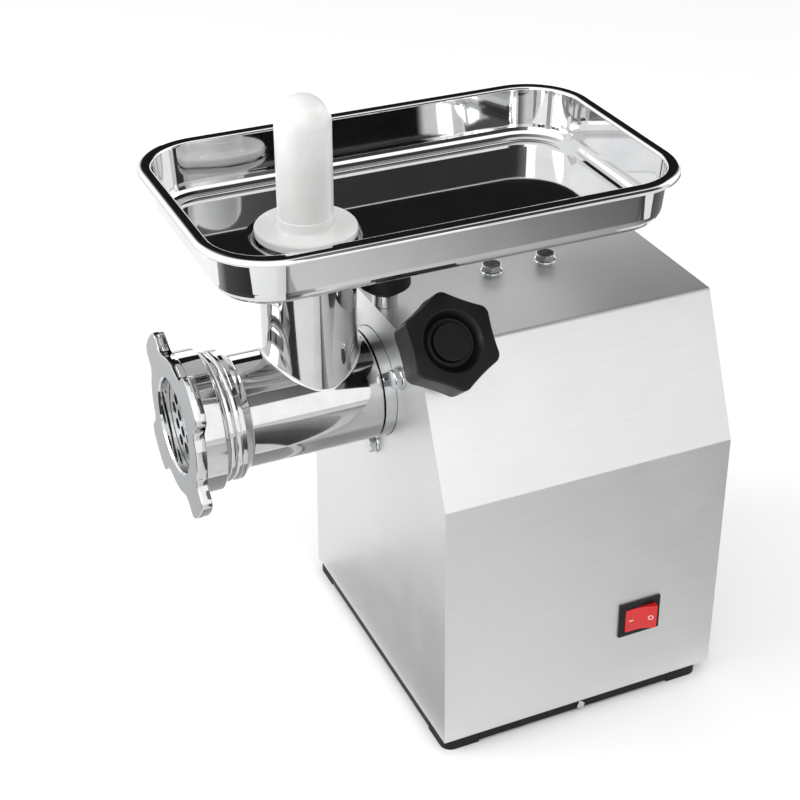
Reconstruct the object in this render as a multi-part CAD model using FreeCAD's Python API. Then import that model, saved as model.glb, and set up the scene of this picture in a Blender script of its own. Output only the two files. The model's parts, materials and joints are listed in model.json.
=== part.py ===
"""Countertop electric meat grinder, in millimetres, +Z up.

The discharge end faces -Y, and the switch and the clamp knob are on the +X side. While the pieces are made,
y = 0 is the housing's front face and z = 0 the floor. The last step moves them along Y, so that the origin is
in the middle of the footprint.
"""
import FreeCAD, Part
import math
import os

V = FreeCAD.Vector
AXIS_X = V(1, 0, 0)
AXIS_Y = V(0, 1, 0)
AXIS_Z = V(0, 0, 1)

# Fits and gaps
RUNNING = 0.05           # radial clearance of a turning or sliding shaft
SEAT_GAP = 0.3           # between seated faces of pieces that come apart
HOLE_GAP = 0.5           # radial clearance of a bolt or a tube in a sheet

# Sheet-metal housing
SHEET = 1.2
BEND_R = 2.5             # outside radius of the folds
HOUSING_LENGTH = 218.0
HALF_BOTTOM = 119.0
SIDE_DRAFT = 5.0         # lower edge to the bend of the sides, inwards
HALF_ROOF = 70.5
SKIRT_HEIGHT = 9.0       # floor to the housing's lower edge
KINK_RISE = 193.5        # lower edge to the bend of the sides
ROOF_RISE = 290.5        # lower edge to the roof
REAR_FLANGE = 12.0       # turned-in frame that the rear panel screws to
BOTTOM_LIP = 22.0        # turned-in lip that the feet screw to

# Base
CHASSIS = 3.0            # chassis plate thickness
PAN_SHEET = 1.5
PAN_INSET = 0.5          # pan side behind the housing side
PAN_CLEAR = 2.0          # pan bottom above the floor
BASE_REAR_INSET = 8.0
FOOT_SIDE = 27.0
FOOT_ROUND = 8.0
FOOT_SCREW_R = 2.5
FOOT_SCREW_HEAD_R = 5.0
FOOT_SCREW_HEAD = 3.0
FOOT_SCREW_SUNK = 1.5    # head above the floor
PAN_SCREW_R = 1.6
PAN_SCREW_HEAD_R = 3.0
PAN_SCREW_HEAD = 1.8
PAN_TAB = 16.0           # width of the tab that the pan screw bites in

# Rear panel
REAR_SCREW_R = 2.0
REAR_SCREW_HEAD_R = 4.0
REAR_SCREW_HEAD = 3.6
REAR_SCREW_RISES = (76.0, 160.0)   # above the lower edge
REAR_SCREW_ROOF_X = 42.0
VENT_LENGTH = 56.0
VENT_WIDTH = 5.0
VENT_PITCH = 11.0
VENT_ROWS = 8
VENT_RISE = 70.0         # lowest vent above the lower edge
VENT_COLUMN_X = 36.0
GLAND_X = 62.0
GLAND_RISE = 28.0
GLAND_PROUD = 10.0
GLAND_FLANGE_R = 13.0
GLAND_FLANGE = 3.5
GLAND_THREAD_R = 8.0
GLAND_THREAD = 12.0
GLAND_BORE_R = 4.2

# Head socket and its bolts
AXIS_RISE = 232.5        # lower edge to the barrel axis
SOCKET_PROUD = 8.0
SOCKET_R = 38.5
SOCKET_DEPTH = 30.0
SHANK_R = 27.5
BOLT_CIRCLE_R = 50.0
BOLT_ANGLES = (30.0, 150.0, 270.0)
BOLT_R = 4.0
BOLT_FLATS = 13.0
BOLT_HEAD = 6.0
BOLT_WASHER_R = 8.0
BOLT_WASHER = 1.5
BOLT_FLANGE = 6.0        # thickness of the case flange that they bite in
BOLT_EAR_R = 10.0

# Gear train: two spur stages, all axes in the plane x = 0
PRESSURE_ANGLE = 20.0
MODULE_OUT = 2.0
OUTPUT_TEETH = 42
PINION_TEETH = 18
FACE_OUT = 16.0
MODULE_IN = 1.5
COUNTER_TEETH = 52
MOTOR_TEETH = 16
FACE_IN = 10.0
ADDENDUM = 0.9           # in modules
DEDENDUM = 1.25          # in modules
BACKLASH = 0.08          # in modules, taken off each tooth's thickness
GEAR_GAP = 1.5
STAGE_GAP = 2.5

# Gearbox case
WALL = 4.0
GEAR_ROOM = 2.7          # tooth tips to the case wall
SEAL_LIP = 1.5
SEAL_WIDTH = 4.5
SEAL_R = 20.0
MAIN_SHAFT_R = 12.5
MAIN_BEARING_R = 26.0
MAIN_BEARING = 15.0
TAIL_SHAFT_R = 7.5
TAIL_BEARING_R = 17.5
TAIL_BEARING = 10.0
BEARING_WALL = 4.5
BEARING_STOP = 3.0       # case wall in front of the countershaft bearing
CHAMBER_SETBACK = 6.0    # main bearing's front to the chamber
COVER = 8.5
COVER_STOP = 1.5         # cover wall behind the tail bearings
COVER_SCREW_R = 2.5
COVER_SCREW_HEAD_R = 4.3
COVER_SCREW_HEAD = 4.0
COVER_SCREW_LENGTH = 26.0
COVER_SCREW_TOP = (45.0, 135.0)      # directions from the output axis
COVER_SCREW_MIDDLE = (0.0, 180.0)    # from the counter axis
COVER_SCREW_LOW = (-35.0, 215.0)     # from the motor axis
GEAR_SEAT_R = 14.0
GEAR_SHOULDER_R = 18.0
COUNTER_SEAT_R = 9.0

# Motor
STATOR_BORE_R = 33.5
AIR_GAP = 0.4
BELL_DEPTH = 22.0
BELL_FLOOR = 6.0
BELL_LIP = 3.0           # bell wall outside the stator
BELL_LAP = 4.0           # bell rim over the stator
BELL_LEDGE = 4.0         # bell step that the stator stops at
WINDING_ROOM = 2.0       # windings to the bell
BELL_STOP = 2.0          # bell floor in front of its bearing
WINDING_INNER_R = 37.0
WINDING_OUTER_R = 52.0
WINDING_LENGTH = 13.0
ROTOR_SEAT_R = 9.0
SHAFT_HOLE_R = 14.0
TIE_OFFSET = 5.0         # tie bolts outside the stator
TIE_EAR_R = 6.0
TIE_BOLT_R = 2.5
TIE_ANGLES = (30.0, 150.0, 210.0, 330.0)
TIE_HEAD_R = 4.5
TIE_HEAD = 4.0
MOTOR_FLANGE_EDGE = 1.0  # cover's edge outside the tie bolts' ears
FAN_ROOM = 11.6          # fan to the rear frame
FAN_R = 48.0
FAN_LENGTH = 14.0
FAN_GAP = 4.0
FAN_HUB_R = 14.0
FAN_DISC = 2.0
FAN_BLADES = 9
CRADLE_HALF = 46.0
CRADLE_PLATE = 4.0
CRADLE_FOOT = 3.0
CRADLE_END = 4.0         # stack left free at each end of the cradle
CRADLE_BOLT_R = 3.0
CRADLE_BOLT_FLATS = 10.0
CRADLE_BOLT_HEAD = 4.0
CRADLE_EDGE = 9.0        # bolts inside the cradle's ends

# Capacitor on the chassis
CAPACITOR_R = 18.0
CAPACITOR_LENGTH = 72.0
CAPACITOR_INSET = 35.0   # from the housing's side to the can's axis
CAPACITOR_Y = 120.0
CLIP_SHEET = 2.0
CLIP_WIDTH = 18.0
TERMINAL = (6.0, 8.0, 0.8)   # width, length, thickness

# Roof stay and its bolts
STAY_X = -12.0
STAY_HALF = 13.0
STAY_PLATE = 4.0
STAY_BOLT_Y = (94.0, 136.0)
STAY_END = 14.0          # plate past the last bolt
STAY_DROP = 48.0         # upright leg below the roof
STAY_SCREW_DROPS = (18.0, 32.0)
STAY_SCREW_R = 2.5
STAY_SCREW_HEAD_R = 4.5
STAY_SCREW_HEAD = 3.0
STAY_SCREW_BITE = 7.0

# Rocker switch on the +X side
SWITCH_Y = 153.5
SWITCH_RISE = 62.7
SWITCH_BEZEL = (33.0, 28.0)      # along Y, along the side
SWITCH_BEZEL_PROUD = 2.2
SWITCH_BODY = (30.0, 23.0)
SWITCH_DEPTH = 24.0
SWITCH_WINDOW = (26.0, 19.4)
SWITCH_POCKET = 13.6
ROCKER_R = 12.7          # sweep of the rocker's ends about its pivot
ROCKER_PIVOT = 0.5       # pivot outside the side sheet
ROCKER_MIDDLE = 2.9      # rocker surface above the pivot at its middle
ROCKER_END = 4.9         # and towards its ends
ROCKER_SOLE = 5.5
ROCKER_TILT = 10.0

# Clamp knob and stud, radial to the barrel axis
CLAMP_ANGLE = 39.0
CLAMP_Y = 13.5
STUD_R = 5.0
STUD_HOLE_R = 8.0
STUD_BOSS_R = 8.5
STUD_BOSS_REACH = 52.0
STUD_IN_KNOB = 14.0
KNOB_GAP = 5.3           # between the roof bend and the knob
KNOB_THICK = 23.0
KNOB_LOBES = 6
KNOB_TIP_R = 32.0
KNOB_VALLEY_R = 28.0
KNOB_LOBE_R = 6.5
KNOB_ROUND = 1.2
KNOB_RECESS_R = 20.0
KNOB_RECESS = 6.0
KNOB_DISC_R = 12.2
KNOB_DISC_SUNK = 1.2
KNOB_RECESS_SLOPE = 4.5
KNOB_DISC_SLOPE = 0.6

# Grinding head
TUBE_R = 38.3
TUBE_LENGTH = 92.7
TUBE_CHAMFER = 2.0
COLLAR_R = 44.0
COLLAR_TAPER = 6.4
THREAD_SHOWN = 14.2      # collar left showing behind the ring nut
THREAD_PITCH = 5.0
THREAD_DEPTH = 1.2
BORE_R = 32.5
HEAD_REAR_WALL = 6.0
JOURNAL_R = 15.0
SHANK_CHAMFER = 1.5
NECK_Y = -46.3
NECK_R = 31.7
NECK_BORE_R = 27.0
NECK_FILLET = 3.0
NECK_RISE = 119.7        # barrel axis to the neck's rim
SPIGOT_DROP = 12.5       # rim to the shoulder that the tray sits on
SPIGOT_STEP = 1.5

# Ring nut, cutting plate and knife
NUT_SKIRT = 14.4
NUT_PLATE = 7.3
NUT_BODY_R = 48.0
NUT_OPENING_R = 31.8
NUT_VALLEY_R = 48.5
LUG_TIP_R = 62.7
LUG_WIDTH = 34.0
LUG_CORNER = 6.0
LUG_ROOT = 9.0
LUG_COUNT = 4
THREAD_GAP = 0.15
PLATE_R = 35.0
PLATE_THICK = 6.0
PLATE_PROUD = 1.7        # plate in front of the barrel's mouth
PLATE_GAP = 0.15
PLATE_HOLE_R = 4.0
PLATE_HOLE_PITCH = 11.0
PLATE_HOLE_FROM = 10.0
PLATE_HOLE_TO = 27.5
PILOT_R = 6.0
KEY_R = 2.0
KEY_DEPTH = 3.0
KNIFE_R = 31.5
KNIFE_THICK = 8.0
KNIFE_HUB_R = 14.0
KNIFE_BLADE_ROOT = 13.0
KNIFE_BLADE_TIP = 9.0
KNIFE_BLADES = 4
KNIFE_GAP = 0.2

# Auger
AUGER_CORE_R = 11.0
AUGER_R = 31.7
AUGER_PITCH = 30.0
AUGER_FLIGHT = 7.0
AUGER_REAR_FREE = 8.0    # bare core behind the flight
AUGER_START = 40.0       # direction of the flight's front end
STUD_SQUARE = 12.0
TANG_SQUARE = 14.0
TANG_LENGTH = 13.0
TANG_GAP = 0.3
WASHER_R = 24.0
WASHER_THICK = 1.8

# Tray
TRAY_SHEET = 1.2
TRAY_HALF = 99.3
TRAY_FRONT = -137.2
TRAY_REAR = 188.2
TRAY_CORNER = 46.5
TRAY_RIM = 8.0
TRAY_ROLL = 3.0
TRAY_DEPTH = 36.0        # floor to the rim's top
TRAY_DRAFT = 3.0         # wall foot inside the wall head
TRAY_FLOOR_ROUND = 11.0
TRAY_FLARE_R = 38.7      # where the floor starts to turn down into the hole
TRAY_COLLAR_LENGTH = 5.0

# Tray rest on the roof
REST_Y = 8.0
REST_STUB_R = 8.5
REST_STUB = 9.0
REST_TAIL_R = 4.0
REST_NUT_FLATS = 13.0
REST_NUT = 6.0
REST_FOOT_R = 9.5
REST_WIDE_R = 17.5
REST_FLARE = 6.0
REST_TOP_R = 15.0

# Pusher
PUSHER_FLANGE_R = 33.3
PUSHER_FLANGE = 6.8
PUSHER_FLANGE_ROUND = 2.0
PUSHER_SHAFT_GAP = 1.8
PUSHER_SHAFT = 60.0
PUSHER_SHAFT_CHAMFER = 3.0
PUSHER_HANDLE_R = 18.0
PUSHER_HANDLE = 86.7     # flange to the top of the dome
PUSHER_BASE = 6.0
PUSHER_BASE_STEP = 0.5

# Heights
LIP_TOP = SKIRT_HEIGHT + SHEET
CHASSIS_TOP = LIP_TOP + CHASSIS
KINK_Z = SKIRT_HEIGHT + KINK_RISE
ROOF_Z = SKIRT_HEIGHT + ROOF_RISE
ROOF_UNDER = ROOF_Z - SHEET
BARREL_Z = SKIRT_HEIGHT + AXIS_RISE
COUNTER_Z = BARREL_Z - MODULE_OUT * (OUTPUT_TEETH + PINION_TEETH) / 2
MOTOR_Z = COUNTER_Z - MODULE_IN * (COUNTER_TEETH + MOTOR_TEETH) / 2
NECK_TOP = BARREL_Z + NECK_RISE
SHOULDER_Z = NECK_TOP - SPIGOT_DROP
SPIGOT_R = NECK_R - SPIGOT_STEP
COLLAR_BORE_R = SPIGOT_R + SEAT_GAP
COLLAR_FOOT = SHOULDER_Z + SEAT_GAP
TRAY_BEND = TRAY_FLARE_R - COLLAR_BORE_R
TRAY_FLOOR = COLLAR_FOOT + TRAY_COLLAR_LENGTH + TRAY_BEND
TRAY_UNDER = TRAY_FLOOR - TRAY_SHEET
TRAY_TOP = TRAY_FLOOR + TRAY_DEPTH
PUSHER_SEAT = NECK_TOP + SEAT_GAP

# Places along Y, from the nut's face to the fan
SOCKET_FACE = -SOCKET_PROUD
SOCKET_FLOOR = SOCKET_FACE + SOCKET_DEPTH
HEAD_REAR = SOCKET_FACE - SEAT_GAP
SHANK_END = HEAD_REAR + SOCKET_DEPTH
TUBE_FRONT = HEAD_REAR - TUBE_LENGTH
COLLAR_REAR = TUBE_FRONT - COLLAR_TAPER
NUT_REAR = COLLAR_REAR - THREAD_SHOWN
NUT_SEAT = NUT_REAR - NUT_SKIRT
NUT_FACE = NUT_SEAT - NUT_PLATE
PLATE_FRONT = NUT_SEAT + SEAT_GAP
PLATE_BACK = PLATE_FRONT + PLATE_THICK
HEAD_MOUTH = PLATE_FRONT + PLATE_PROUD
KNIFE_FRONT = PLATE_BACK + KNIFE_GAP
KNIFE_BACK = KNIFE_FRONT + KNIFE_THICK
BORE_REAR = HEAD_REAR - HEAD_REAR_WALL
WASHER_FRONT = BORE_REAR - WASHER_THICK
TANG_END = SHANK_END + TANG_LENGTH
SEAL_FRONT = SOCKET_FLOOR + SEAL_LIP
MAIN_FRONT = SEAL_FRONT + SEAL_WIDTH
MAIN_BACK = MAIN_FRONT + MAIN_BEARING
CHAMBER_FRONT = MAIN_FRONT + CHAMBER_SETBACK
CASE_FRONT = CHAMBER_FRONT - WALL
OUT_FRONT = MAIN_BACK + GEAR_GAP
OUT_BACK = OUT_FRONT + FACE_OUT
IN_FRONT = OUT_BACK + STAGE_GAP
IN_BACK = IN_FRONT + FACE_IN
TAIL_FRONT = IN_BACK + GEAR_GAP
TAIL_BACK = TAIL_FRONT + TAIL_BEARING
COVER_BACK = TAIL_BACK + COVER_STOP
COVER_FRONT = COVER_BACK - COVER
COUNTER_BEARING_BACK = OUT_FRONT - GEAR_GAP
COUNTER_BEARING_FRONT = COUNTER_BEARING_BACK - TAIL_BEARING
REAR_PANEL_FRONT = HOUSING_LENGTH - SHEET
REAR_FRAME_FRONT = REAR_PANEL_FRONT - SHEET
FAN_BACK = REAR_FRAME_FRONT - FAN_ROOM
FAN_FRONT = FAN_BACK - FAN_LENGTH
MOTOR_BACK = FAN_FRONT - FAN_GAP
STACK_BACK = MOTOR_BACK - BELL_DEPTH
STACK_FRONT = COVER_BACK + BELL_DEPTH
BASE_REAR = HOUSING_LENGTH - BASE_REAR_INSET

# Other shared values
HALF_KINK = HALF_BOTTOM - SIDE_DRAFT
CAPACITOR_X = CAPACITOR_INSET - HALF_BOTTOM
BELL_INNER_R = WINDING_OUTER_R + WINDING_ROOM
STATOR_R = BELL_INNER_R + BELL_LEDGE
TIE_CIRCLE_R = STATOR_R + TIE_OFFSET
MOTOR_FLANGE_R = TIE_CIRCLE_R + TIE_EAR_R + MOTOR_FLANGE_EDGE
CLAMP_RADIANS = math.radians(CLAMP_ANGLE)
BEND_REACH = HALF_ROOF * math.cos(CLAMP_RADIANS) + (ROOF_Z - BARREL_Z) * math.sin(CLAMP_RADIANS)
KNOB_BACK = BEND_REACH + KNOB_GAP
KNOB_FACE = KNOB_BACK + KNOB_THICK
SIDE_LEAN = math.degrees(math.atan2(HALF_BOTTOM - HALF_KINK, KINK_RISE))
ORIGIN_Y = (NUT_FACE + HOUSING_LENGTH + GLAND_PROUD) / 2


def box(x0, x1, y0, y1, z0, z1):
    """Box between two corners."""
    return Part.makeBox(x1 - x0, y1 - y0, z1 - z0, V(x0, y0, z0))


def rod(radius, y0, y1, x=0.0, z=BARREL_Z):
    """Round bar along Y."""
    return Part.makeCylinder(radius, y1 - y0, V(x, y0, z), AXIS_Y)


def post(radius, z0, z1, x=0.0, y=0.0):
    """Round bar along Z."""
    return Part.makeCylinder(radius, z1 - z0, V(x, y, z0), AXIS_Z)


def cross_pin(radius, x0, x1, y, z):
    """Round bar along X."""
    return Part.makeCylinder(radius, x1 - x0, V(x0, y, z), AXIS_X)


def prism(points, y0, y1):
    """Polygon of the XZ plane, drawn out along Y."""
    ring = [V(p.x, y0, p.z) for p in points]
    return Part.Face(Part.makePolygon(ring + ring[:1])).extrude(V(0, y1 - y0, 0))


def turned_y(profile, z=BARREL_Z):
    """Solid turned about the line x = 0 at height z, from (radius, y) points."""
    ring = [V(r, y, z) for r, y in profile]
    return Part.Face(Part.makePolygon(ring + ring[:1])).revolve(V(0, 0, z), AXIS_Y, 360)


def turned_z(edges, x, y):
    """Solid turned about the upright line at x, y, from edges drawn in the plane y = 0 of (radius, z)."""
    solid = Part.Face(Part.Wire(edges)).revolve(V(0, 0, 0), AXIS_Z, 360)
    solid.translate(V(x, y, 0))
    return solid


def line(a, b):
    """Straight edge between two (radius, z) points."""
    return Part.makeLine(V(a[0], 0, a[1]), V(b[0], 0, b[1]))


def arc(a, middle, b):
    """Round edge through three (radius, z) points."""
    return Part.Arc(V(a[0], 0, a[1]), V(middle[0], 0, middle[1]), V(b[0], 0, b[1])).toShape()


def polyline(points):
    """Straight edges through (radius, z) points."""
    return [line(a, b) for a, b in zip(points, points[1:])]


def ring_y(outer, inner, y0, y1, z=BARREL_Z, x=0.0):
    """Round sleeve along Y."""
    return rod(outer, y0, y1, x, z).cut(rod(inner, y0, y1, x, z))


def hexagon_y(flats, y0, y1, x, z):
    """Hexagonal bar along Y."""
    radius = flats / math.sqrt(3)
    corners = [math.radians(60 * k) for k in range(6)]
    return prism([V(x + radius * math.cos(a), 0, z + radius * math.sin(a)) for a in corners], y0, y1)


def hexagon_z(flats, z0, z1, x, y):
    """Hexagonal bar along Z."""
    solid = hexagon_y(flats, -z1, -z0, 0, 0)
    solid.rotate(V(0, 0, 0), AXIS_X, -90)
    solid.translate(V(x, y, 0))
    return solid


def square_y(side, y0, y1, z=BARREL_Z):
    """Square bar along Y."""
    half = side / 2
    return box(-half, half, y0, y1, z - half, z + half)


def polar(z, radius, angle):
    """x and z of a point at this angle about the line x = 0 at height z."""
    a = math.radians(angle)
    return radius * math.cos(a), z + radius * math.sin(a)


def fused(first, *others):
    """One solid from pieces that overlap."""
    return first.multiFuse(list(others)).removeSplitter()


def edges_where(shape, test, samples=5):
    """Edges of a shape on which the test holds at evenly spaced points."""
    return [e for e in shape.Edges if not e.Degenerated and all(test(p) for p in e.discretize(samples))]


def crossing(p, d, q, e):
    """Point where two lines of the XZ plane, each a point and a direction, cross."""
    s = ((q.x - p.x) * e.z - (q.z - p.z) * e.x) / (d.x * e.z - d.z * e.x)
    return p + d * s


def housing_section(inset):
    """Corners of the housing's section with its sides, slopes and roof moved in by inset."""
    outline = [(HALF_BOTTOM, SKIRT_HEIGHT), (HALF_KINK, KINK_Z), (HALF_ROOF, ROOF_Z), (0, ROOF_Z)]
    corners = [V(x, 0, z) for x, z in outline]
    lines = [(corners[0], AXIS_X)]
    for a, b in zip(corners, corners[1:]):
        d = (b - a).normalize()
        lines.append((a + V(-d.z, 0, d.x) * inset, d))
    right = [crossing(*a, *b) for a, b in zip(lines, lines[1:])]
    return right + [V(-p.x, 0, p.z) for p in reversed(right)]


def side_x(z, inset):
    """Half width of the housing's lower part at height z, inside its side by inset."""
    lean = (HALF_BOTTOM - HALF_KINK) / KINK_RISE
    return HALF_BOTTOM - lean * (z - SKIRT_HEIGHT) - inset * math.hypot(1, lean)


def on_side(shape):
    """Moves a shape drawn about the origin, facing +X, to the switch's place on the leaning side."""
    shape.rotate(V(0, 0, 0), AXIS_Y, -SIDE_LEAN)
    z = SKIRT_HEIGHT + SWITCH_RISE
    shape.translate(V(side_x(z, 0), SWITCH_Y, z))
    return shape


def on_clamp(shape):
    """Moves a shape drawn about +Z, with z counted from the barrel axis, to the clamp's line."""
    shape.rotate(V(0, 0, 0), AXIS_Y, 90 - CLAMP_ANGLE)
    shape.translate(V(0, CLAMP_Y, BARREL_Z))
    return shape


# Housing and base

def foot_places():
    """Middles of the four feet."""
    x = HALF_BOTTOM - PAN_INSET - FOOT_SIDE / 2
    return [(s * x, y) for s in (1, -1) for y in (PAN_INSET + FOOT_SIDE / 2, BASE_REAR - FOOT_SIDE / 2)]


def rear_screw_places():
    """x and z of the rear panel's screws, on the middle of its frame."""
    inset = SHEET + REAR_FLANGE / 2
    rises = [SKIRT_HEIGHT + rise for rise in REAR_SCREW_RISES]
    places = [(s * side_x(z, inset), z) for s in (1, -1) for z in rises]
    return places + [(s * REAR_SCREW_ROOF_X, ROOF_Z - inset) for s in (1, -1)]


def housing_block(inset, y0, y1):
    """Block of the housing's section with its bends rounded, its walls moved in by inset."""
    block = prism(housing_section(inset), y0, y1)
    bends = edges_where(block, lambda p: p.z > KINK_Z - 2 * inset - BEND_R)
    bends = [e for e in bends if e.BoundBox.YLength > (y1 - y0) / 2]
    return block.makeFillet(BEND_R - inset, bends)


def housing_shell():
    """Folded sides, slopes and roof, with the rear frame, the bottom lips and the pan's tabs."""
    inside = housing_block(SHEET, 0, HOUSING_LENGTH)
    shell = housing_block(0, 0, HOUSING_LENGTH).cut(inside)
    frame = housing_block(SHEET, REAR_FRAME_FRONT, REAR_PANEL_FRONT)
    frame = frame.cut(prism(housing_section(SHEET + REAR_FLANGE), REAR_FRAME_FRONT, REAR_PANEL_FRONT))
    wall_x = HALF_BOTTOM - SHEET
    tab_x = HALF_BOTTOM - PAN_INSET - PAN_SHEET
    tab_y = HOUSING_LENGTH / 2
    folds = [frame]
    for s in (1, -1):
        lip = sorted((s * (wall_x - BOTTOM_LIP), s * wall_x))
        folds.append(box(*lip, SHEET, REAR_FRAME_FRONT, SKIRT_HEIGHT, LIP_TOP))
        tab = sorted((s * (tab_x - SHEET), s * tab_x))
        folds.append(box(*tab, tab_y - PAN_TAB / 2, tab_y + PAN_TAB / 2, PAN_CLEAR + PAN_SHEET, LIP_TOP))
    shell = fused(shell, *folds)
    holes = [post(FOOT_SCREW_R + HOLE_GAP, 0, CHASSIS_TOP, x, y) for x, y in foot_places()]
    holes += [rod(REAR_SCREW_R, REAR_FRAME_FRONT, HOUSING_LENGTH, x, z) for x, z in rear_screw_places()]
    holes += [post(BOLT_R + HOLE_GAP, ROOF_UNDER, ROOF_Z, STAY_X, y) for y in STAY_BOLT_Y]
    holes.append(post(REST_TAIL_R + HOLE_GAP, ROOF_UNDER, ROOF_Z, 0, REST_Y))
    holes.append(on_clamp(post(STUD_HOLE_R, STUD_BOSS_REACH, KNOB_FACE)))
    holes.append(on_side(switch_block(SWITCH_BODY, SWITCH_DEPTH, SEAT_GAP)))
    reach = HALF_BOTTOM
    holes.append(cross_pin(PAN_SCREW_R, -reach, reach, tab_y, pan_screw_z()))
    return shell.cut(holes)


def pan_screw_z():
    """Height of the screws in the pan's sides, with their heads just under the housing."""
    return SKIRT_HEIGHT - PAN_SCREW_HEAD_R - SEAT_GAP


def front_panel():
    """Front wall with the socket's hole and the bolts' holes."""
    panel = housing_block(SHEET, 0, SHEET)
    holes = [rod(SOCKET_R + HOLE_GAP, 0, SHEET)]
    for angle in BOLT_ANGLES:
        holes.append(rod(BOLT_R + HOLE_GAP, 0, SHEET, *polar(BARREL_Z, BOLT_CIRCLE_R, angle)))
    return panel.cut(holes)


def rear_panel():
    """Rear wall with two columns of vents, the gland's hole and its screws' holes."""
    span = (REAR_PANEL_FRONT, HOUSING_LENGTH)
    panel = housing_block(SHEET, *span)
    half = (VENT_LENGTH - VENT_WIDTH) / 2
    radius = VENT_WIDTH / 2
    holes = [rod(GLAND_THREAD_R, *span, GLAND_X, SKIRT_HEIGHT + GLAND_RISE)]
    for row in range(VENT_ROWS):
        z = SKIRT_HEIGHT + VENT_RISE + row * VENT_PITCH
        for x in (-VENT_COLUMN_X, VENT_COLUMN_X):
            ends = [rod(radius, *span, x + side * half, z) for side in (1, -1)]
            holes.append(fused(box(x - half, x + half, *span, z - radius, z + radius), *ends))
    holes += [rod(REAR_SCREW_R, *span, x, z) for x, z in rear_screw_places()]
    return panel.cut(holes)


def pan_head(radius, head_radius, head, y_seat, y_tip, x, z):
    """Pan-head screw along Y whose head stands on the rear side of y_seat."""
    top = rod(head_radius, y_seat, y_seat + head, x, z)
    rim = edges_where(top, lambda p: abs(p.y - y_seat - head) < 1e-6)
    top = top.makeFillet(head / 2, rim[:1])
    return fused(top, rod(radius, y_tip, y_seat, x, z))


def rear_screws():
    """Screws of the rear panel."""
    return [pan_head(REAR_SCREW_R, REAR_SCREW_HEAD_R, REAR_SCREW_HEAD, HOUSING_LENGTH, REAR_FRAME_FRONT, x, z)
            for x, z in rear_screw_places()]


def cable_gland():
    """Inlet of the mains lead: a flanged, domed bush with an open bore."""
    z = SKIRT_HEIGHT + GLAND_RISE
    y = HOUSING_LENGTH
    waist = (GLAND_FLANGE_R + GLAND_BORE_R) / 2
    bush = turned_y([
        (GLAND_BORE_R, REAR_PANEL_FRONT - GLAND_THREAD),
        (GLAND_THREAD_R, REAR_PANEL_FRONT - GLAND_THREAD),
        (GLAND_THREAD_R, y),
        (GLAND_FLANGE_R, y),
        (GLAND_FLANGE_R, y + GLAND_FLANGE),
        (waist + 1, y + GLAND_FLANGE),
        (waist, y + GLAND_PROUD),
        (GLAND_BORE_R, y + GLAND_PROUD)], z)
    bush.translate(V(GLAND_X, 0, 0))
    return bush


def chassis_plate():
    """Steel plate on the lips that carries the motor's cradle."""
    half = HALF_BOTTOM - SHEET - 2 * SEAT_GAP
    plate = box(-half, half, SHEET + SEAT_GAP, REAR_FRAME_FRONT - SEAT_GAP, LIP_TOP, CHASSIS_TOP)
    holes = [post(FOOT_SCREW_R, LIP_TOP, CHASSIS_TOP, x, y) for x, y in foot_places()]
    holes += [post(CRADLE_BOLT_R, LIP_TOP, CHASSIS_TOP, x, y) for x, y in cradle_bolt_places()]
    return plate.cut(holes)


def base_pan():
    """Shallow black pan under the housing, cut out at its corners for the feet."""
    half = HALF_BOTTOM - PAN_INSET
    pan = box(-half, half, PAN_INSET, BASE_REAR, PAN_CLEAR, SKIRT_HEIGHT)
    inner = half - PAN_SHEET
    pan = pan.cut(box(-inner, inner, PAN_INSET + PAN_SHEET, BASE_REAR - PAN_SHEET,
                      PAN_CLEAR + PAN_SHEET, SKIRT_HEIGHT))
    room = FOOT_SIDE / 2 + SEAT_GAP
    holes = [box(x - room, x + room, y - room, y + room, 0, SKIRT_HEIGHT) for x, y in foot_places()]
    holes.append(cross_pin(PAN_SCREW_R, -half, half, HOUSING_LENGTH / 2, pan_screw_z()))
    return pan.cut(holes)


def pan_screws():
    """One screw in each side of the pan."""
    seat = HALF_BOTTOM - PAN_INSET
    tip = seat - PAN_SHEET - SHEET
    screws = []
    for s in (1, -1):
        head = sorted((s * seat, s * (seat + PAN_SCREW_HEAD)))
        shank = sorted((s * tip, s * seat))
        place = (HOUSING_LENGTH / 2, pan_screw_z())
        screw = cross_pin(PAN_SCREW_HEAD_R, *head, *place)
        screws.append(fused(screw, cross_pin(PAN_SCREW_R, *shank, *place)))
    return screws


def rubber_feet():
    """Four corner feet with sunk screw holes and round outer corners."""
    feet = []
    half = FOOT_SIDE / 2
    for x, y in foot_places():
        foot = box(x - half, x + half, y - half, y + half, 0, SKIRT_HEIGHT)
        side = 1 if x > 0 else -1
        end = -1 if y < HOUSING_LENGTH / 2 else 1
        corner = edges_where(foot, lambda p: abs(p.x - x - side * half) + abs(p.y - y - end * half) < 1e-6)
        foot = foot.makeFillet(FOOT_ROUND, corner)
        hole = post(FOOT_SCREW_R + HOLE_GAP, 0, SKIRT_HEIGHT, x, y)
        sunk = post(FOOT_SCREW_HEAD_R + HOLE_GAP, 0, FOOT_SCREW_SUNK + FOOT_SCREW_HEAD, x, y)
        feet.append(foot.cut([hole, sunk]))
    return feet


def foot_screws():
    """Screws up through the feet and the lips into the chassis plate."""
    seat = FOOT_SCREW_SUNK + FOOT_SCREW_HEAD
    return [fused(post(FOOT_SCREW_HEAD_R, FOOT_SCREW_SUNK, seat, x, y),
                  post(FOOT_SCREW_R, seat, CHASSIS_TOP, x, y)) for x, y in foot_places()]


# Gears

def involute(radius, base):
    """Involute function at this radius of a tooth on a base circle."""
    angle = math.acos(base / radius)
    return math.tan(angle) - angle


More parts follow.
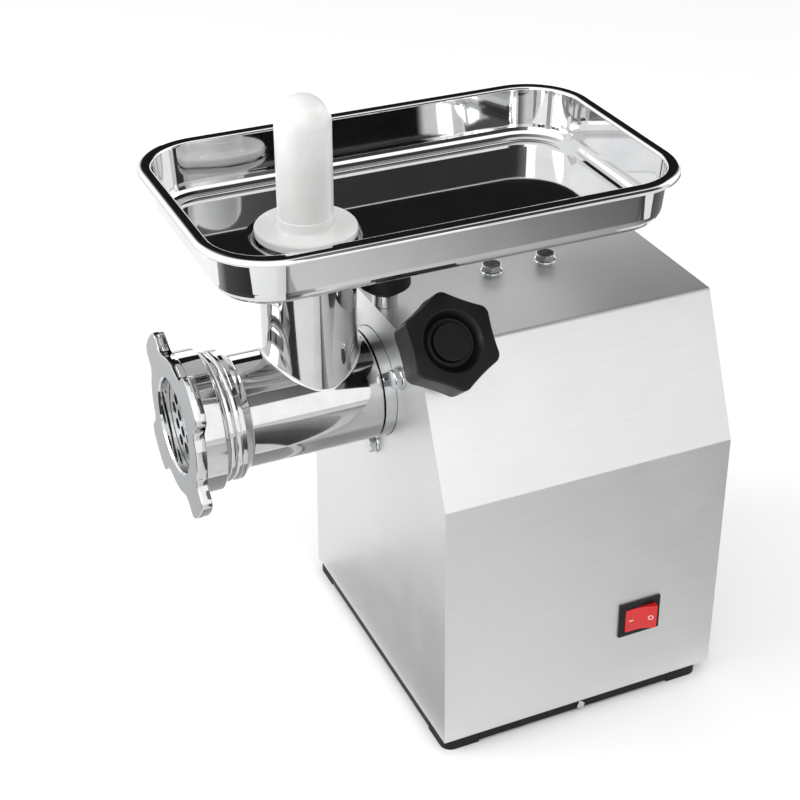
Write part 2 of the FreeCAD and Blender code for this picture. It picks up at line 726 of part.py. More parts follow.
def spur_gear(teeth, module, y0, y1, z, first):
    """Spur gear along Y with involute teeth, whose first tooth points in the direction of the angle first."""
    pitch = module * teeth / 2
    base = pitch * math.cos(math.radians(PRESSURE_ANGLE))
    tip = pitch + ADDENDUM * module
    root = pitch - DEDENDUM * module
    half = math.pi / (2 * teeth) - BACKLASH * module / (2 * pitch) + involute(pitch, base)
    start = max(base, root)
    steps = 5
    radii = [start + (tip - start) * k / (steps - 1) for k in range(steps)]

    def at(radius, angle):
        return V(radius * math.cos(angle), y0, z + radius * math.sin(angle))

    edges = []
    for k in range(teeth):
        middle = math.radians(first) + 2 * math.pi * k / teeth
        turn = 2 * math.pi / teeth
        sides = []
        for s in (-1, 1):
            flank = Part.BSplineCurve()
            flank.interpolate([at(r, middle + s * (half - involute(r, base))) for r in radii])
            sides.append(flank.toShape())
        foot = half - involute(start, base)
        width = half - involute(tip, base)
        if root < base:
            edges.append(Part.makeLine(at(root, middle - foot), at(start, middle - foot)))
            edges.append(Part.makeLine(at(start, middle + foot), at(root, middle + foot)))
        edges += sides
        edges.append(Part.Arc(at(tip, middle - width), at(tip, middle), at(tip, middle + width)).toShape())
        gap = [at(root, middle + a) for a in (foot, turn / 2, turn - foot)]
        edges.append(Part.Arc(*gap).toShape())
    wire = Part.Wire(Part.__sortEdges__(edges))
    return Part.Face(wire).extrude(V(0, y1 - y0, 0))


def tip_radius(teeth, module):
    """Radius over the teeth of a gear."""
    return module * (teeth / 2 + ADDENDUM)


# Gearbox

def hull(z1, r1, z2, r2, y0, y1):
    """Solid along Y over two circles on the line x = 0, the first one on top, and their tangents."""
    tilt = math.asin((r2 - r1) / (z1 - z2))
    c, s = math.cos(tilt), math.sin(tilt)
    upper = [V(x * r1 * c, 0, z1 + r1 * s) for x in (1, -1)]
    lower = [V(x * r2 * c, 0, z2 + r2 * s) for x in (-1, 1)]
    return fused(prism(upper + lower, y0, y1), rod(r1, y0, y1, 0, z1), rod(r2, y0, y1, 0, z2))


def room_radii(extra):
    """Radii of the gear room round the output, counter and motor axes, moved out by extra."""
    tips = [tip_radius(OUTPUT_TEETH, MODULE_OUT), tip_radius(COUNTER_TEETH, MODULE_IN),
            tip_radius(MOTOR_TEETH, MODULE_IN)]
    return [tip + GEAR_ROOM + extra for tip in tips]


def gear_room(extra, y0, y1):
    """Solid of the gear room, moved out by extra."""
    output, counter, motor = room_radii(extra)
    upper = hull(BARREL_Z, output, COUNTER_Z, counter, y0, y1)
    return fused(upper, hull(COUNTER_Z, counter, MOTOR_Z, motor, y0, y1))


def cover_screw_places():
    """x and z of the cover's screws, just outside the gear room's wall."""
    output, counter, motor = room_radii(WALL + COVER_SCREW_R)
    places = [polar(BARREL_Z, output, a) for a in COVER_SCREW_TOP]
    places += [polar(COUNTER_Z, counter, a) for a in COVER_SCREW_MIDDLE]
    return places + [polar(MOTOR_Z, motor, a) for a in COVER_SCREW_LOW]


def gearbox_case():
    """Cast case: head socket in front, bolt flange behind the front panel, gear room behind."""
    flange_back = SHEET + BOLT_FLANGE
    ears = [rod(BOLT_EAR_R, SHEET, flange_back, *polar(BARREL_Z, BOLT_CIRCLE_R, a)) for a in BOLT_ANGLES]
    bosses = [rod(COVER_SCREW_R + WALL, CHAMBER_FRONT, COVER_FRONT, x, z) for x, z in cover_screw_places()]
    room = gear_room(0, CHAMBER_FRONT, COVER_FRONT)
    walls = fused(gear_room(WALL, CASE_FRONT, COVER_FRONT), *bosses).cut(room)
    case = fused(
        walls,
        rod(SOCKET_R, SOCKET_FACE, CHAMBER_FRONT),
        rod((SOCKET_R + BOLT_CIRCLE_R) / 2, SHEET, flange_back),
        rod(MAIN_BEARING_R + BEARING_WALL, SOCKET_FLOOR, MAIN_BACK),
        rod(TAIL_BEARING_R + BEARING_WALL, CASE_FRONT, COUNTER_BEARING_BACK, 0, COUNTER_Z),
        on_clamp(post(STUD_BOSS_R, SHANK_R + WALL, STUD_BOSS_REACH)),
        *ears)
    bores = [
        rod(SHANK_R + RUNNING, SOCKET_FACE, SOCKET_FLOOR),
        rod(MAIN_SHAFT_R + HOLE_GAP, SOCKET_FLOOR, SEAL_FRONT),
        rod(SEAL_R, SEAL_FRONT, MAIN_FRONT),
        rod(MAIN_BEARING_R, MAIN_FRONT, MAIN_BACK),
        rod(TAIL_BEARING_R, COUNTER_BEARING_FRONT, COUNTER_BEARING_BACK, 0, COUNTER_Z),
        on_clamp(post(STUD_R + RUNNING, 0, STUD_BOSS_REACH))]
    for angle in BOLT_ANGLES:
        bores.append(rod(BOLT_R, SHEET, flange_back, *polar(BARREL_Z, BOLT_CIRCLE_R, angle)))
    tip = COVER_BACK - COVER_SCREW_LENGTH
    bores += [rod(COVER_SCREW_R, tip, COVER_FRONT, x, z) for x, z in cover_screw_places()]
    return case.cut(bores)


def gearbox_cover():
    """Rear plate of the gearbox, with the tail bearings' seats and the motor's flange."""
    output, counter, _ = room_radii(WALL)
    bearing = TAIL_BEARING_R + BEARING_WALL
    seat = TAIL_FRONT - GEAR_GAP / 3
    rims = [rod(COVER_SCREW_R + WALL, COVER_FRONT, COVER_BACK, x, z) for x, z in cover_screw_places()]
    cover = fused(
        hull(BARREL_Z, output, COUNTER_Z, counter, COVER_FRONT, COVER_BACK),
        hull(COUNTER_Z, counter, MOTOR_Z, MOTOR_FLANGE_R, COVER_FRONT, COVER_BACK),
        rod(bearing, seat, COVER_BACK),
        rod(bearing, seat, COVER_BACK, 0, COUNTER_Z),
        *rims)
    bores = [rod(TAIL_BEARING_R, seat, TAIL_BACK), rod(TAIL_BEARING_R, seat, TAIL_BACK, 0, COUNTER_Z)]
    bores.append(rod(SHAFT_HOLE_R, COVER_FRONT, COVER_BACK, 0, MOTOR_Z))
    for x, z in cover_screw_places():
        bores.append(rod(COVER_SCREW_R, COVER_FRONT, COVER_BACK, x, z))
        bores.append(rod(COVER_SCREW_HEAD_R + HOLE_GAP, COVER_BACK - COVER_SCREW_HEAD, COVER_BACK, x, z))
    bores += [rod(TIE_BOLT_R, COVER_FRONT, COVER_BACK, x, z) for x, z in tie_places()]
    bite = COVER_BACK - STAY_SCREW_BITE
    bores += [rod(STAY_SCREW_R, bite, COVER_BACK, STAY_X, z) for z in stay_screw_heights()]
    return cover.cut(bores)


def cover_screws():
    """Sunk screws that close the gearbox."""
    neck = COVER_BACK - COVER_SCREW_HEAD
    tip = COVER_BACK - COVER_SCREW_LENGTH
    return [fused(rod(COVER_SCREW_HEAD_R, neck, COVER_BACK, x, z), rod(COVER_SCREW_R, tip, neck, x, z))
            for x, z in cover_screw_places()]


def front_bolts():
    """Hex bolts that hang the gearbox on the front panel."""
    bolts = []
    for angle in BOLT_ANGLES:
        place = polar(BARREL_Z, BOLT_CIRCLE_R, angle)
        bolts.append(fused(
            hexagon_y(BOLT_FLATS, -BOLT_HEAD, 0, *place),
            rod(BOLT_WASHER_R, -BOLT_WASHER, 0, *place),
            rod(BOLT_R, 0, SHEET + BOLT_FLANGE, *place)))
    return bolts


def bearing(bore, outer, y0, y1, z):
    """Ball bearing as one ring, with a groove between its races on both faces."""
    inner = bore + RUNNING
    groove = (outer - inner) / 5
    depth = (y1 - y0) / 8
    ring = ring_y(outer, inner, y0, y1, z)
    grooves = [ring_y(outer - 2 * groove, inner + 2 * groove, y, y + depth, z) for y in (y0, y1 - depth)]
    return ring.cut(grooves)


def tail_bearings():
    """Bearings behind the output shaft and at both ends of the countershaft."""
    size = (TAIL_SHAFT_R, TAIL_BEARING_R)
    return [bearing(*size, TAIL_FRONT, TAIL_BACK, BARREL_Z), bearing(*size, TAIL_FRONT, TAIL_BACK, COUNTER_Z),
            bearing(*size, COUNTER_BEARING_FRONT, COUNTER_BEARING_BACK, COUNTER_Z)]


def output_shaft():
    """Shaft of the output gear, with a square socket in front for the auger's tang."""
    gap = SEAT_GAP
    shaft = turned_y([
        (0, SOCKET_FLOOR + gap),
        (MAIN_SHAFT_R, SOCKET_FLOOR + gap),
        (MAIN_SHAFT_R, MAIN_BACK + gap),
        (GEAR_SEAT_R, MAIN_BACK + gap),
        (GEAR_SEAT_R, OUT_BACK),
        (GEAR_SHOULDER_R, OUT_BACK),
        (GEAR_SHOULDER_R, IN_FRONT),
        (TAIL_SHAFT_R, IN_FRONT),
        (TAIL_SHAFT_R, TAIL_BACK - gap),
        (0, TAIL_BACK - gap)])
    return shaft.cut(square_y(TANG_SQUARE + 2 * TANG_GAP, SOCKET_FLOOR, TANG_END + TANG_GAP))


def output_gear():
    """Large gear on the output shaft, with a tooth straight down."""
    gear = spur_gear(OUTPUT_TEETH, MODULE_OUT, OUT_FRONT, OUT_BACK, BARREL_Z, -90)
    return gear.cut(rod(GEAR_SEAT_R, OUT_FRONT, OUT_BACK))


def countershaft():
    """Countershaft with its pinion cut in one piece, a tooth gap straight up."""
    gap = SEAT_GAP
    shaft = turned_y([
        (0, COUNTER_BEARING_FRONT + gap),
        (TAIL_SHAFT_R, COUNTER_BEARING_FRONT + gap),
        (TAIL_SHAFT_R, COUNTER_BEARING_BACK + gap),
        (COUNTER_SEAT_R, COUNTER_BEARING_BACK + gap),
        (COUNTER_SEAT_R, IN_BACK),
        (TAIL_SHAFT_R, IN_BACK),
        (TAIL_SHAFT_R, TAIL_BACK - gap),
        (0, TAIL_BACK - gap)], COUNTER_Z)
    pinion = spur_gear(PINION_TEETH, MODULE_OUT, OUT_FRONT, OUT_BACK, COUNTER_Z, 90 + 180 / PINION_TEETH)
    return fused(shaft, pinion)


def counter_gear():
    """Large gear on the countershaft, with a tooth straight down."""
    gear = spur_gear(COUNTER_TEETH, MODULE_IN, IN_FRONT, IN_BACK, COUNTER_Z, -90)
    return gear.cut(rod(COUNTER_SEAT_R, IN_FRONT, IN_BACK, 0, COUNTER_Z))


# Motor

def tie_places():
    """x and z of the motor's tie bolts."""
    return [polar(MOTOR_Z, TIE_CIRCLE_R, a) for a in TIE_ANGLES]


def motor_bell(start, towards):
    """End bell whose floor starts at y = start and opens in the direction towards, over the stator's end."""
    def at(depth):
        return start + towards * depth
    deep = BELL_STOP + TAIL_BEARING + 1
    bell = turned_y([
        (TAIL_SHAFT_R + HOLE_GAP, at(0)),
        (STATOR_R + BELL_LIP, at(0)),
        (STATOR_R + BELL_LIP, at(BELL_DEPTH + BELL_LAP)),
        (STATOR_R, at(BELL_DEPTH + BELL_LAP)),
        (STATOR_R, at(BELL_DEPTH)),
        (BELL_INNER_R, at(BELL_DEPTH)),
        (BELL_INNER_R, at(BELL_FLOOR)),
        (TAIL_BEARING_R + BEARING_WALL, at(BELL_FLOOR)),
        (TAIL_BEARING_R + BEARING_WALL, at(deep)),
        (TAIL_BEARING_R, at(deep)),
        (TAIL_BEARING_R, at(BELL_STOP)),
        (TAIL_SHAFT_R + HOLE_GAP, at(BELL_STOP))], MOTOR_Z)
    span = sorted((at(0), at(BELL_DEPTH)))
    ears = [rod(TIE_EAR_R, *span, x, z) for x, z in tie_places()]
    ears = [ear.cut(rod(STATOR_R, *span, 0, MOTOR_Z)) for ear in ears]
    whole = sorted((at(0), at(BELL_DEPTH + BELL_LAP)))
    return fused(bell, *ears).cut([rod(TIE_BOLT_R, *whole, x, z) for x, z in tie_places()])


def tie_bolts():
    """Long bolts from the rear bell into the gearbox cover."""
    return [fused(rod(TIE_HEAD_R, MOTOR_BACK, MOTOR_BACK + TIE_HEAD, x, z),
                  rod(TIE_BOLT_R, COVER_FRONT, MOTOR_BACK, x, z)) for x, z in tie_places()]


def windings():
    """End windings on both sides of the stator core, as bound rings with sloped edges."""
    slope = (WINDING_OUTER_R - WINDING_INNER_R) / 4
    rings = []
    for y, towards in ((STACK_FRONT, -1), (STACK_BACK, 1)):
        top = y + towards * WINDING_LENGTH
        edge = y + towards * (WINDING_LENGTH - slope)
        rings.append(turned_y([
            (WINDING_INNER_R, y),
            (WINDING_OUTER_R, y),
            (WINDING_OUTER_R, edge),
            (WINDING_OUTER_R - slope, top),
            (WINDING_INNER_R + slope, top),
            (WINDING_INNER_R, edge)], MOTOR_Z))
    return rings


def motor_bearings():
    """Bearings in the two bells."""
    size = (TAIL_SHAFT_R, TAIL_BEARING_R)
    fronts = (COVER_BACK + BELL_STOP, MOTOR_BACK - BELL_STOP - TAIL_BEARING)
    return [bearing(*size, y, y + TAIL_BEARING, MOTOR_Z) for y in fronts]


def motor_shaft():
    """Rotor shaft with its pinion cut in one piece, a tooth gap straight up."""
    inset = BELL_STOP + TAIL_BEARING + SEAT_GAP
    shaft = turned_y([
        (0, IN_FRONT),
        (TAIL_SHAFT_R, IN_FRONT),
        (TAIL_SHAFT_R, COVER_BACK + inset),
        (ROTOR_SEAT_R, COVER_BACK + inset),
        (ROTOR_SEAT_R, MOTOR_BACK - inset),
        (TAIL_SHAFT_R, MOTOR_BACK - inset),
        (TAIL_SHAFT_R, FAN_BACK),
        (0, FAN_BACK)], MOTOR_Z)
    pinion = spur_gear(MOTOR_TEETH, MODULE_IN, IN_FRONT, IN_BACK, MOTOR_Z, 90 + 180 / MOTOR_TEETH)
    return fused(shaft, pinion)


def cooling_fan():
    """Fan on the shaft's rear end: hub, disc and straight blades."""
    disc_back = FAN_FRONT + FAN_DISC
    fan = rod(FAN_HUB_R, FAN_FRONT, FAN_BACK, 0, MOTOR_Z)
    pieces = [rod(FAN_R, FAN_FRONT, disc_back, 0, MOTOR_Z)]
    for k in range(FAN_BLADES):
        blade = box(FAN_HUB_R - FAN_DISC, FAN_R, FAN_FRONT, FAN_BACK, -FAN_DISC / 2, FAN_DISC / 2)
        blade.rotate(V(0, 0, 0), AXIS_Y, 360 * k / FAN_BLADES)
        blade.translate(V(0, 0, MOTOR_Z))
        pieces.append(blade)
    fan = fused(fan, *pieces).common(rod(FAN_R, FAN_FRONT, FAN_BACK, 0, MOTOR_Z))
    return fan.cut(rod(TAIL_SHAFT_R, FAN_FRONT, FAN_BACK, 0, MOTOR_Z))


def cradle_bolt_places():
    """x and y of the bolts that hold the cradle on the chassis."""
    middle = (STACK_FRONT + STACK_BACK) / 2
    return [(s * (CRADLE_HALF - CRADLE_EDGE), middle) for s in (1, -1)]


def motor_cradle():
    """Two upright plates on one foot that carry the stator."""
    y0 = STACK_FRONT + BELL_LAP + CRADLE_END
    y1 = STACK_BACK - BELL_LAP - CRADLE_END
    foot_top = CHASSIS_TOP + CRADLE_FOOT
    foot = box(-CRADLE_HALF, CRADLE_HALF, y0, y1, CHASSIS_TOP, foot_top)
    plates = [box(-CRADLE_HALF, CRADLE_HALF, y, y + CRADLE_PLATE, CHASSIS_TOP, MOTOR_Z - STATOR_R / 2)
              for y in (y0, y1 - CRADLE_PLATE)]
    cradle = fused(foot, *plates).cut(rod(STATOR_R, y0, y1, 0, MOTOR_Z))
    return cradle.cut([post(CRADLE_BOLT_R, CHASSIS_TOP, foot_top, x, y) for x, y in cradle_bolt_places()])


def cradle_bolts():
    """Hex bolts of the cradle."""
    seat = CHASSIS_TOP + CRADLE_FOOT
    return [fused(hexagon_z(CRADLE_BOLT_FLATS, seat, seat + CRADLE_BOLT_HEAD, x, y),
                  post(CRADLE_BOLT_R, LIP_TOP, seat, x, y)) for x, y in cradle_bolt_places()]


def capacitor_z():
    """Height of the capacitor's axis."""
    return CHASSIS_TOP + CLIP_SHEET + CAPACITOR_R


def capacitor():
    """Run capacitor: a round can with two terminals."""
    z = capacitor_z()
    end = CAPACITOR_Y + CAPACITOR_LENGTH
    width, length, thick = TERMINAL
    tabs = [box(x - thick / 2, x + thick / 2, end, end + length, z - width / 2, z + width / 2)
            for x in (CAPACITOR_X - width, CAPACITOR_X + width)]
    return fused(rod(CAPACITOR_R, CAPACITOR_Y, end, CAPACITOR_X, z), *tabs)


def capacitor_clip():
    """Band on a foot that holds the capacitor on the chassis."""
    z = capacitor_z()
    y0 = CAPACITOR_Y + (CAPACITOR_LENGTH - CLIP_WIDTH) / 2
    y1 = y0 + CLIP_WIDTH
    outer = CAPACITOR_R + CLIP_SHEET
    foot = box(CAPACITOR_X - outer, CAPACITOR_X + outer, y0, y1, CHASSIS_TOP, CHASSIS_TOP + CLIP_SHEET)
    return fused(rod(outer, y0, y1, CAPACITOR_X, z), foot).cut(rod(CAPACITOR_R, y0, y1, CAPACITOR_X, z))


# Roof stay

def stay_screw_heights():
    """Heights of the screws in the stay's upright leg."""
    return [ROOF_UNDER - drop for drop in STAY_SCREW_DROPS]


def stay_bracket():
    """Angle under the roof that ties the gearbox to it."""
    sides = (STAY_X - STAY_HALF, STAY_X + STAY_HALF)
    back = STAY_BOLT_Y[-1] + STAY_END
    leg = box(*sides, COVER_BACK, COVER_BACK + STAY_PLATE, ROOF_UNDER - STAY_DROP, ROOF_UNDER)
    bar = box(*sides, COVER_BACK, back, ROOF_UNDER - STAY_PLATE, ROOF_UNDER)
    holes = [post(BOLT_R, ROOF_UNDER - STAY_PLATE, ROOF_UNDER, STAY_X, y) for y in STAY_BOLT_Y]
    holes += [rod(STAY_SCREW_R, COVER_BACK, COVER_BACK + STAY_PLATE, STAY_X, z) for z in stay_screw_heights()]
    return fused(leg, bar).cut(holes)


def stay_screws():
    """Screws through the stay's leg into the gearbox cover."""
    return [pan_head(STAY_SCREW_R, STAY_SCREW_HEAD_R, STAY_SCREW_HEAD, COVER_BACK + STAY_PLATE,
                     COVER_BACK - STAY_SCREW_BITE, STAY_X, z) for z in stay_screw_heights()]


def roof_bolts():
    """Hex bolts through the roof into the stay."""
    return [fused(hexagon_z(BOLT_FLATS, ROOF_Z, ROOF_Z + BOLT_HEAD, STAY_X, y),
                  post(BOLT_WASHER_R, ROOF_Z, ROOF_Z + BOLT_WASHER, STAY_X, y),
                  post(BOLT_R, ROOF_UNDER - STAY_PLATE, ROOF_Z, STAY_X, y)) for y in STAY_BOLT_Y]


# Switch

def switch_block(size, depth, extra=0.0):
    """Block behind the side sheet, about the origin and facing +X, enlarged by extra all round."""
    y, z = size[0] / 2 + extra, size[1] / 2 + extra
    return box(-depth, SHEET, -y, y, -z, z)


def switch_body():
    """Switch case with its bezel outside the side, open in front for the rocker."""
    y, z = SWITCH_BEZEL[0] / 2, SWITCH_BEZEL[1] / 2
    bezel = box(0, SWITCH_BEZEL_PROUD, -y, y, -z, z)
    rim = edges_where(bezel, lambda p: abs(p.x - SWITCH_BEZEL_PROUD) < 1e-6)
    bezel = bezel.makeChamfer(SWITCH_BEZEL_PROUD / 3, rim)
    block = switch_block(SWITCH_BODY, SWITCH_DEPTH).common(box(-SWITCH_DEPTH, 0, -y, y, -z, z))
    wy, wz = SWITCH_WINDOW[0] / 2, SWITCH_WINDOW[1] / 2
    body = fused(block, bezel).cut(box(-SWITCH_POCKET, SWITCH_BEZEL_PROUD, -wy, wy, -wz, wz))
    return on_side(body)


def switch_rocker():
    """Rocker with a shallow V face, its ends round about the pivot, tilted with its rear end out."""
    half = SWITCH_WINDOW[1] / 2 - SEAT_GAP
    reach = ROCKER_R
    face = [(ROCKER_END, -reach), (ROCKER_MIDDLE, 0), (ROCKER_END, reach)]
    sole = [(-ROCKER_SOLE, reach), (-ROCKER_SOLE, -reach)]
    ring = [V(x, y, -half) for x, y in face + sole]
    rocker = Part.Face(Part.makePolygon(ring + ring[:1])).extrude(V(0, 0, 2 * half))
    rocker = rocker.common(post(ROCKER_R, -half, half))
    rocker.rotate(V(0, 0, 0), AXIS_Z, -ROCKER_TILT)
    rocker.translate(V(ROCKER_PIVOT, 0, 0))
    return on_side(rocker)


# Clamp

def lobed_face(count, tip, valley, lobe):
    """Face in the XY plane with round lobes, joined by hollow arcs that touch the valley radius."""
    step = math.pi / count
    centre = tip - lobe
    near = centre * math.cos(step)
    side = centre * math.sin(step)
    hollow = ((valley - near) ** 2 + side ** 2 - lobe ** 2) / (2 * (lobe - valley + near))
    share = lobe / (lobe + hollow)

    def at(radius, angle):
        return V(radius * math.cos(angle), radius * math.sin(angle), 0)

    edges = []
    for k in range(count):
        a = 2 * k * step
        touch = []
        for s in (-1, 1):
            middle = at(centre, a)
            touch.append(middle + (at(valley + hollow, a + s * step) - middle) * share)
        edges.append(Part.Arc(touch[0], at(tip, a), touch[1]).toShape())
        turn = FreeCAD.Rotation(AXIS_Z, math.degrees(2 * step))
        edges.append(Part.Arc(touch[1], at(valley, a + step), turn.multVec(touch[0])).toShape())
    return Part.Face(Part.Wire(edges))


def clamp_knob():
    """Six-lobed knob with a ring-shaped recess in its face, on the end of the stud."""
    knob = lobed_face(KNOB_LOBES, KNOB_TIP_R, KNOB_VALLEY_R, KNOB_LOBE_R).extrude(V(0, 0, KNOB_THICK))
    rims = edges_where(knob, lambda p: min(p.z, KNOB_THICK - p.z) < 1e-6)
    knob = knob.makeFillet(KNOB_ROUND, rims)
    floor = KNOB_THICK - KNOB_RECESS
    recess = turned_z(polyline([
        (KNOB_DISC_R, KNOB_THICK),
        (KNOB_DISC_R + KNOB_DISC_SLOPE, floor),
        (KNOB_RECESS_R - KNOB_RECESS_SLOPE, floor),
        (KNOB_RECESS_R, KNOB_THICK),
        (KNOB_DISC_R, KNOB_THICK)]), 0, 0)
    disc = post(KNOB_DISC_R, KNOB_THICK - KNOB_DISC_SUNK, KNOB_THICK)
    knob = knob.cut([recess, disc, post(STUD_R + RUNNING, 0, STUD_IN_KNOB)])
    knob.translate(V(0, 0, KNOB_BACK))
    return on_clamp(knob)


def clamp_stud():
    """Clamp screw from the shank of the head to the knob."""
    return on_clamp(post(STUD_R, SHANK_R + SEAT_GAP, KNOB_BACK + STUD_IN_KNOB - SEAT_GAP))


# Head, nut, plate, knife and auger

def grinding_head():
    """Barrel with threaded collar, shank and feed neck."""
    profile = [(0, HEAD_MOUTH), (COLLAR_R - THREAD_DEPTH, HEAD_MOUTH)]
    grooves = int((COLLAR_REAR - HEAD_MOUTH - THREAD_PITCH / 2) / THREAD_PITCH)
    for k in range(grooves):
        y = HEAD_MOUTH + (k + 0.5) * THREAD_PITCH
        profile += [(COLLAR_R, y - THREAD_DEPTH), (COLLAR_R, y + THREAD_DEPTH)]
        profile.append((COLLAR_R - THREAD_DEPTH, y + THREAD_PITCH / 2))
    profile += [
        (COLLAR_R, COLLAR_REAR - THREAD_DEPTH),
        (COLLAR_R, COLLAR_REAR),
        (TUBE_R, TUBE_FRONT),
        (TUBE_R, HEAD_REAR - TUBE_CHAMFER),
        (TUBE_R - TUBE_CHAMFER, HEAD_REAR),
        (SHANK_R, HEAD_REAR),
        (SHANK_R, SHANK_END - SHANK_CHAMFER),
        (SHANK_R - SHANK_CHAMFER, SHANK_END),
        (0, SHANK_END)]
    neck = post(NECK_R, BARREL_Z, SHOULDER_Z, 0, NECK_Y)
    head = fused(turned_y(profile), neck)
    seam = edges_where(head, lambda p: abs(math.hypot(p.x, p.z - BARREL_Z) - TUBE_R) < 0.01
                       and abs(math.hypot(p.x, p.y - NECK_Y) - NECK_R) < 0.01)
    head = head.makeFillet(NECK_FILLET, seam)
    head = fused(head, post(SPIGOT_R, SHOULDER_Z, NECK_TOP, 0, NECK_Y))
    key_z = BARREL_Z - PLATE_R + KEY_DEPTH
    return head.cut([
        rod(PLATE_R + PLATE_GAP, HEAD_MOUTH, PLATE_BACK),
        rod(BORE_R, PLATE_BACK, BORE_REAR),
        rod(JOURNAL_R + RUNNING, BORE_REAR, SHANK_END),
        post(NECK_BORE_R, BARREL_Z, NECK_TOP, 0, NECK_Y),
        post(KEY_R, BARREL_Z - COLLAR_R + THREAD_DEPTH, key_z, 0, key_y())])


def key_y():
    """Place of the key pin along the barrel, in the plate's seat."""
    return (HEAD_MOUTH + PLATE_BACK) / 2


def plate_key():
    """Pin in the barrel's mouth that stops the cutting plate from turning."""
    top = BARREL_Z - PLATE_R + KEY_DEPTH - SEAT_GAP
    return post(KEY_R, BARREL_Z - COLLAR_R + THREAD_DEPTH, top, 0, key_y())


def cutting_plate():
    """Disc with a lattice of round holes, a middle hole for the auger's pilot and a notch for the key."""
    plate = rod(PLATE_R, PLATE_FRONT, PLATE_BACK)
    holes = [rod(PILOT_R + RUNNING, PLATE_FRONT, PLATE_BACK)]
    count = int(PLATE_R / PLATE_HOLE_PITCH) + 2
    for row in range(-count, count + 1):
        for column in range(-count, count + 1):
            x = PLATE_HOLE_PITCH * (column + row / 2)
            z = PLATE_HOLE_PITCH * row * math.sqrt(3) / 2
            if PLATE_HOLE_FROM < math.hypot(x, z) < PLATE_HOLE_TO:
                holes.append(rod(PLATE_HOLE_R, PLATE_FRONT, PLATE_BACK, x, BARREL_Z + z))
    notch = KEY_R + SEAT_GAP
    bottom = BARREL_Z - PLATE_R
    holes.append(box(-notch, notch, PLATE_FRONT, PLATE_BACK, bottom, bottom + KEY_DEPTH))
    return plate.cut(holes)


def ring_nut():
    """Four-lug plate with a round opening and a threaded skirt over the barrel's collar."""
    outline = rod(NUT_VALLEY_R, NUT_FACE, NUT_SEAT)
    lugs = []
    half = LUG_WIDTH / 2
    for k in range(LUG_COUNT):
        lug = box(0, LUG_TIP_R, NUT_FACE, NUT_SEAT, -half, half)
        lug = lug.common(rod(LUG_TIP_R, NUT_FACE, NUT_SEAT, 0, 0))
        tip = math.sqrt(LUG_TIP_R ** 2 - half ** 2)
        corners = edges_where(lug, lambda p: p.x > tip - 1e-3 and abs(p.z) > half - 1e-3)
        lug = lug.makeFillet(LUG_CORNER, corners)
        lug.rotate(V(0, 0, 0), AXIS_Y, 360 * (k + 0.5) / LUG_COUNT)
        lug.translate(V(0, 0, BARREL_Z))
        lugs.append(lug)
    plate = fused(outline, *lugs)
    roots = edges_where(plate, lambda p: abs(math.hypot(p.x, p.z - BARREL_Z) - NUT_VALLEY_R) < 1e-3)
    roots = [e for e in roots if e.BoundBox.YLength > NUT_PLATE / 2]
    plate = plate.makeFillet(LUG_ROOT, roots)
    nut = fused(plate, rod(NUT_BODY_R, NUT_SEAT, NUT_REAR))
    return nut.cut([rod(NUT_OPENING_R, NUT_FACE, NUT_SEAT), rod(COLLAR_R + THREAD_GAP, NUT_SEAT, NUT_REAR)])


def cross_knife():
    """Knife with tapered blades on a square hole."""
    knife = rod(KNIFE_HUB_R, KNIFE_FRONT, KNIFE_BACK)
    blades = []
    for k in range(KNIFE_BLADES):
        r, t = KNIFE_BLADE_ROOT / 2, KNIFE_BLADE_TIP / 2
        blade = prism([V(0, 0, -r), V(KNIFE_R, 0, -t), V(KNIFE_R, 0, t), V(0, 0, r)], KNIFE_FRONT, KNIFE_BACK)
        blade.rotate(V(0, 0, 0), AXIS_Y, 360 * k / KNIFE_BLADES)
        blade.translate(V(0, 0, BARREL_Z))
        blades.append(blade)
    knife = fused(knife, *blades).common(rod(KNIFE_R, KNIFE_FRONT, KNIFE_BACK))
    return knife.cut(square_y(STUD_SQUARE, KNIFE_FRONT, KNIFE_BACK))


def auger():
    """Feed screw: pilot, square stud for the knife, core with one helical flight, journal and drive tang."""
    core = turned_y([
        (0, KNIFE_BACK),
        (AUGER_CORE_R, KNIFE_BACK),
        (AUGER_CORE_R, WASHER_FRONT - AUGER_REAR_FREE),
        (JOURNAL_R + SEAL_LIP, WASHER_FRONT - AUGER_REAR_FREE / 2),
        (JOURNAL_R + SEAL_LIP, WASHER_FRONT),
        (JOURNAL_R, WASHER_FRONT),
        (JOURNAL_R, SHANK_END - SEAT_GAP),
        (0, SHANK_END - SEAT_GAP)])
    half = AUGER_FLIGHT / 2
    length = WASHER_FRONT - AUGER_REAR_FREE - KNIFE_BACK - AUGER_FLIGHT
    inner = AUGER_CORE_R - half
    corners = [V(inner, 0, -half), V(AUGER_R, 0, -half), V(AUGER_R, 0, half), V(inner, 0, half)]
    helix = Part.makeHelix(AUGER_PITCH, length, (inner + AUGER_R) / 2)
    flight = Part.Wire(helix).makePipeShell([Part.makePolygon(corners + corners[:1])], True, True)
    flight.rotate(V(0, 0, 0), AXIS_Z, AUGER_START)
    flight.rotate(V(0, 0, 0), AXIS_X, -90)
    flight.translate(V(0, KNIFE_BACK + half, BARREL_Z))
    pilot = rod(PILOT_R, PLATE_FRONT + SEAT_GAP, PLATE_BACK)
    stud = square_y(STUD_SQUARE, PLATE_BACK + KNIFE_GAP / 2, KNIFE_BACK)
    stem = rod(PILOT_R, PLATE_BACK, KNIFE_BACK)
    return fused(core, flight, pilot, stem, stud, square_y(TANG_SQUARE, SHANK_END - SEAT_GAP, TANG_END))


# Tray, rest and pusher

